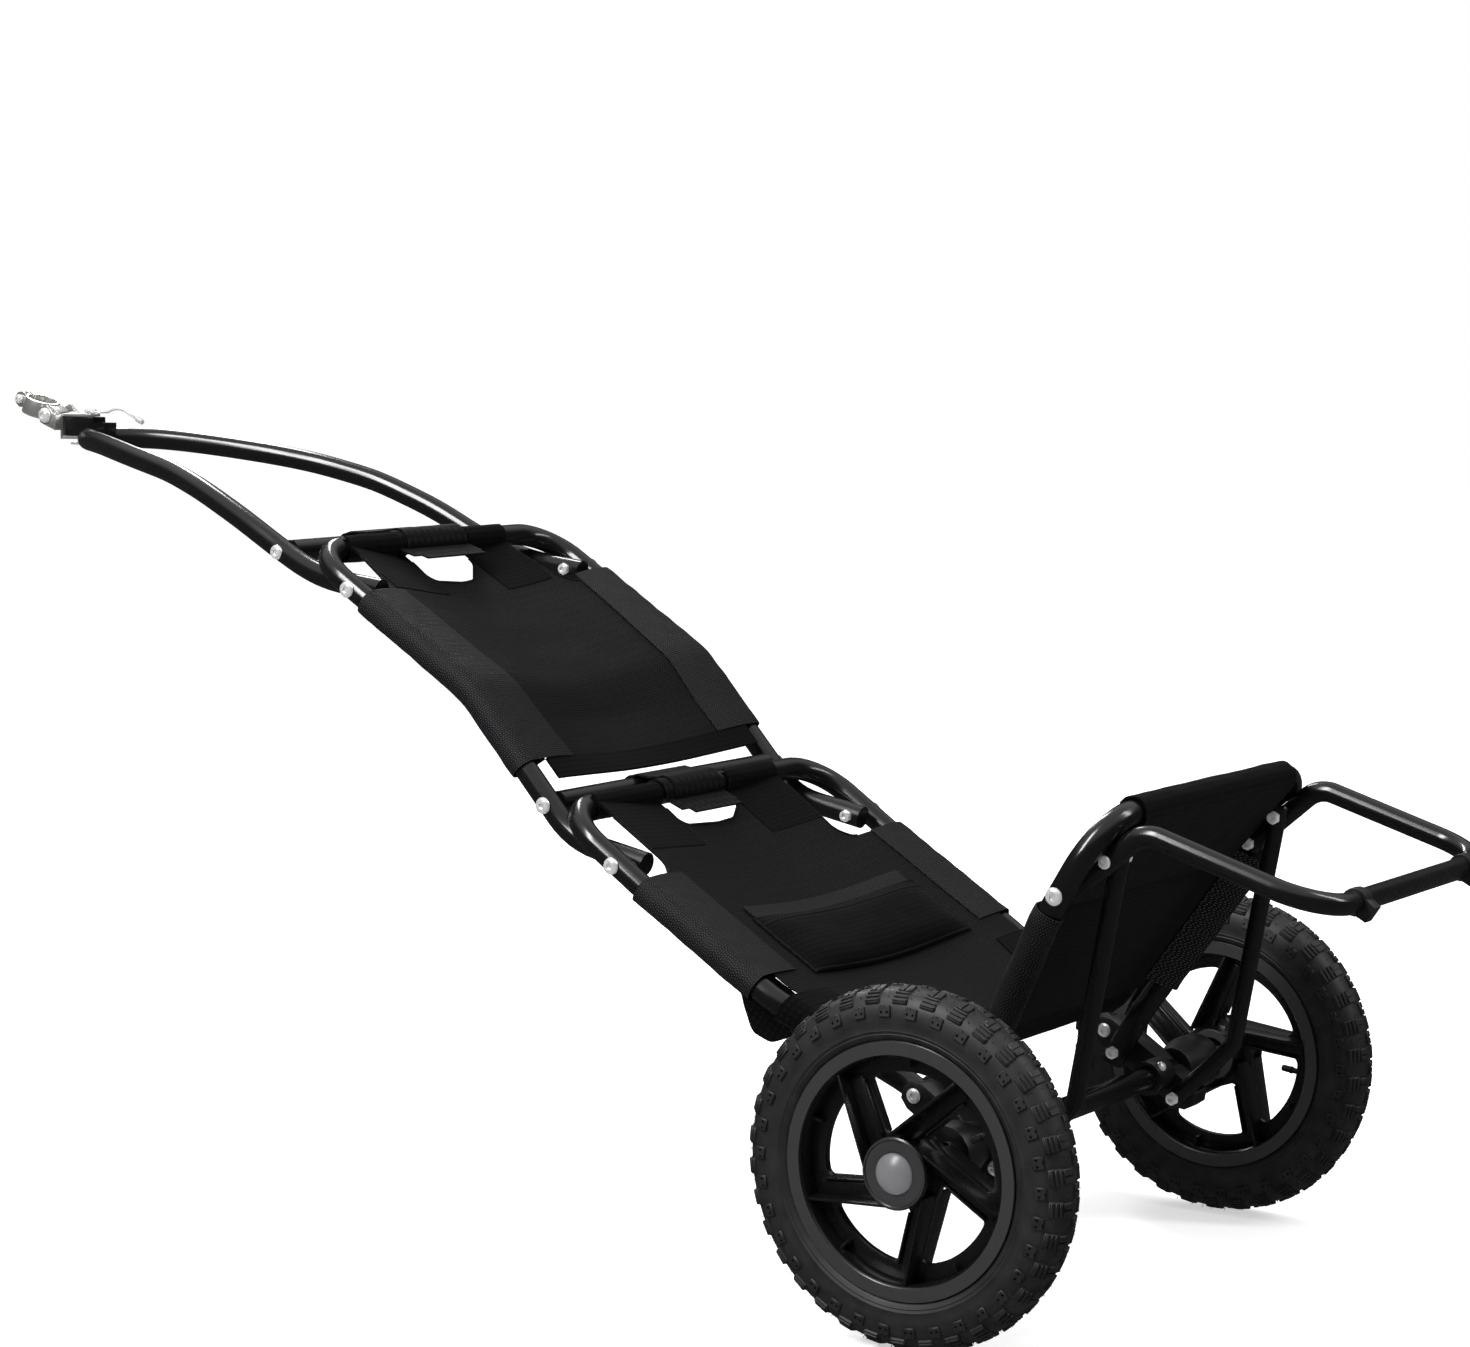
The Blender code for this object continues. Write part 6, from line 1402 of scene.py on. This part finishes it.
# Floor, light and camera; each light is (place, aim, size, watts)
studio = {"floor": -0.765, "floorColour": "#f8f8f8", "floorGlow": 0.55, "domeLow": 0.05, "domeHigh": 0.80,
          "domeFrom": 0.35, "domeTo": 0.75, "camera": (2.7810, -2.8658, 0.0913),
          "aim": (0.8911, 0.0, -0.2401), "lens": 89.41,
          "lights": (((0.2, -2.6, 2.3), (0.9, 0.0, -0.4), (0.8, 2.4), 170),
                     ((-1.4, 2.0, 1.9), (0.7, 0.0, -0.3), (0.3, 2.2), 45),
                     ((3.3, 0.9, 1.5), (1.2, 0.0, -0.4), (0.3, 1.8), 30))}


def studioWorld():
    # white behind everything; the part is lit by a soft dome, bright overhead and dim at the sides
    world = bpy.data.worlds.new("studio")
    world.use_nodes = True
    tree = world.node_tree
    dome = tree.nodes["Background"]
    place = addNode(tree, "TexCoord")
    parts = addNode(tree, "SeparateXYZ", None, {"Vector": place.outputs["Generated"]})
    level = addNode(tree, "MapRange", {"interpolation_type": "SMOOTHSTEP", "From Min": studio["domeFrom"],
                                       "From Max": studio["domeTo"], "To Min": studio["domeLow"],
                                       "To Max": studio["domeHigh"]}, {"Value": parts.outputs["Z"]})
    tree.links.new(level.outputs["Result"], dome.inputs["Strength"])
    dome.inputs["Color"].default_value = hexColour("#ffffff")
    behind = addNode(tree, "Background", {"Color": hexColour("#ffffff"), "Strength": 1.0})
    path = addNode(tree, "LightPath")
    mix = addNode(tree, "MixShader", None, {"Fac": path.outputs["Is Camera Ray"],
                                            1: dome.outputs["Background"], 2: behind.outputs["Background"]})
    tree.links.new(mix.outputs["Shader"], tree.nodes["World Output"].inputs["Surface"])
    bpy.context.scene.world = world


def pointAt(obj, place, aim):
    obj.rotation_mode = "QUATERNION"
    obj.rotation_quaternion = (Vector(aim) - Vector(place)).to_track_quat("-Z", "Y")


def stage():
    bpy.ops.mesh.primitive_plane_add(size=30.0, location=(0.8, 0.0, studio["floor"] - 0.0005))
    floor = bpy.context.object
    floor.name = "floor"
    material, _, shader = startMaterial("matteFloor", studio["floorColour"], 0.95, Specular_IOR_Level=0.1)
    shader.inputs["Emission Color"].default_value = hexColour("#ffffff")
    shader.inputs["Emission Strength"].default_value = studio["floorGlow"]
    floor.data.materials.append(material)
    floor.visible_glossy = False        # the tubes don't mirror the floor, so their undersides stay dark
    studioWorld()
    for index, (place, aim, size, power) in enumerate(studio["lights"]):
        bpy.ops.object.light_add(type="AREA", location=place)
        light = bpy.context.object
        light.name = f"softLight{index}"
        light.data.shape = "RECTANGLE"
        light.data.size, light.data.size_y = size
        light.data.energy = power
        pointAt(light, place, aim)
    bpy.ops.object.camera_add(location=studio["camera"])
    camera = bpy.context.object
    pointAt(camera, studio["camera"], studio["aim"])
    camera.data.lens = studio["lens"]
    camera.data.sensor_width = 36.0
    bpy.context.scene.camera = camera
    bpy.context.scene.view_settings.view_transform = "Standard"


stage()
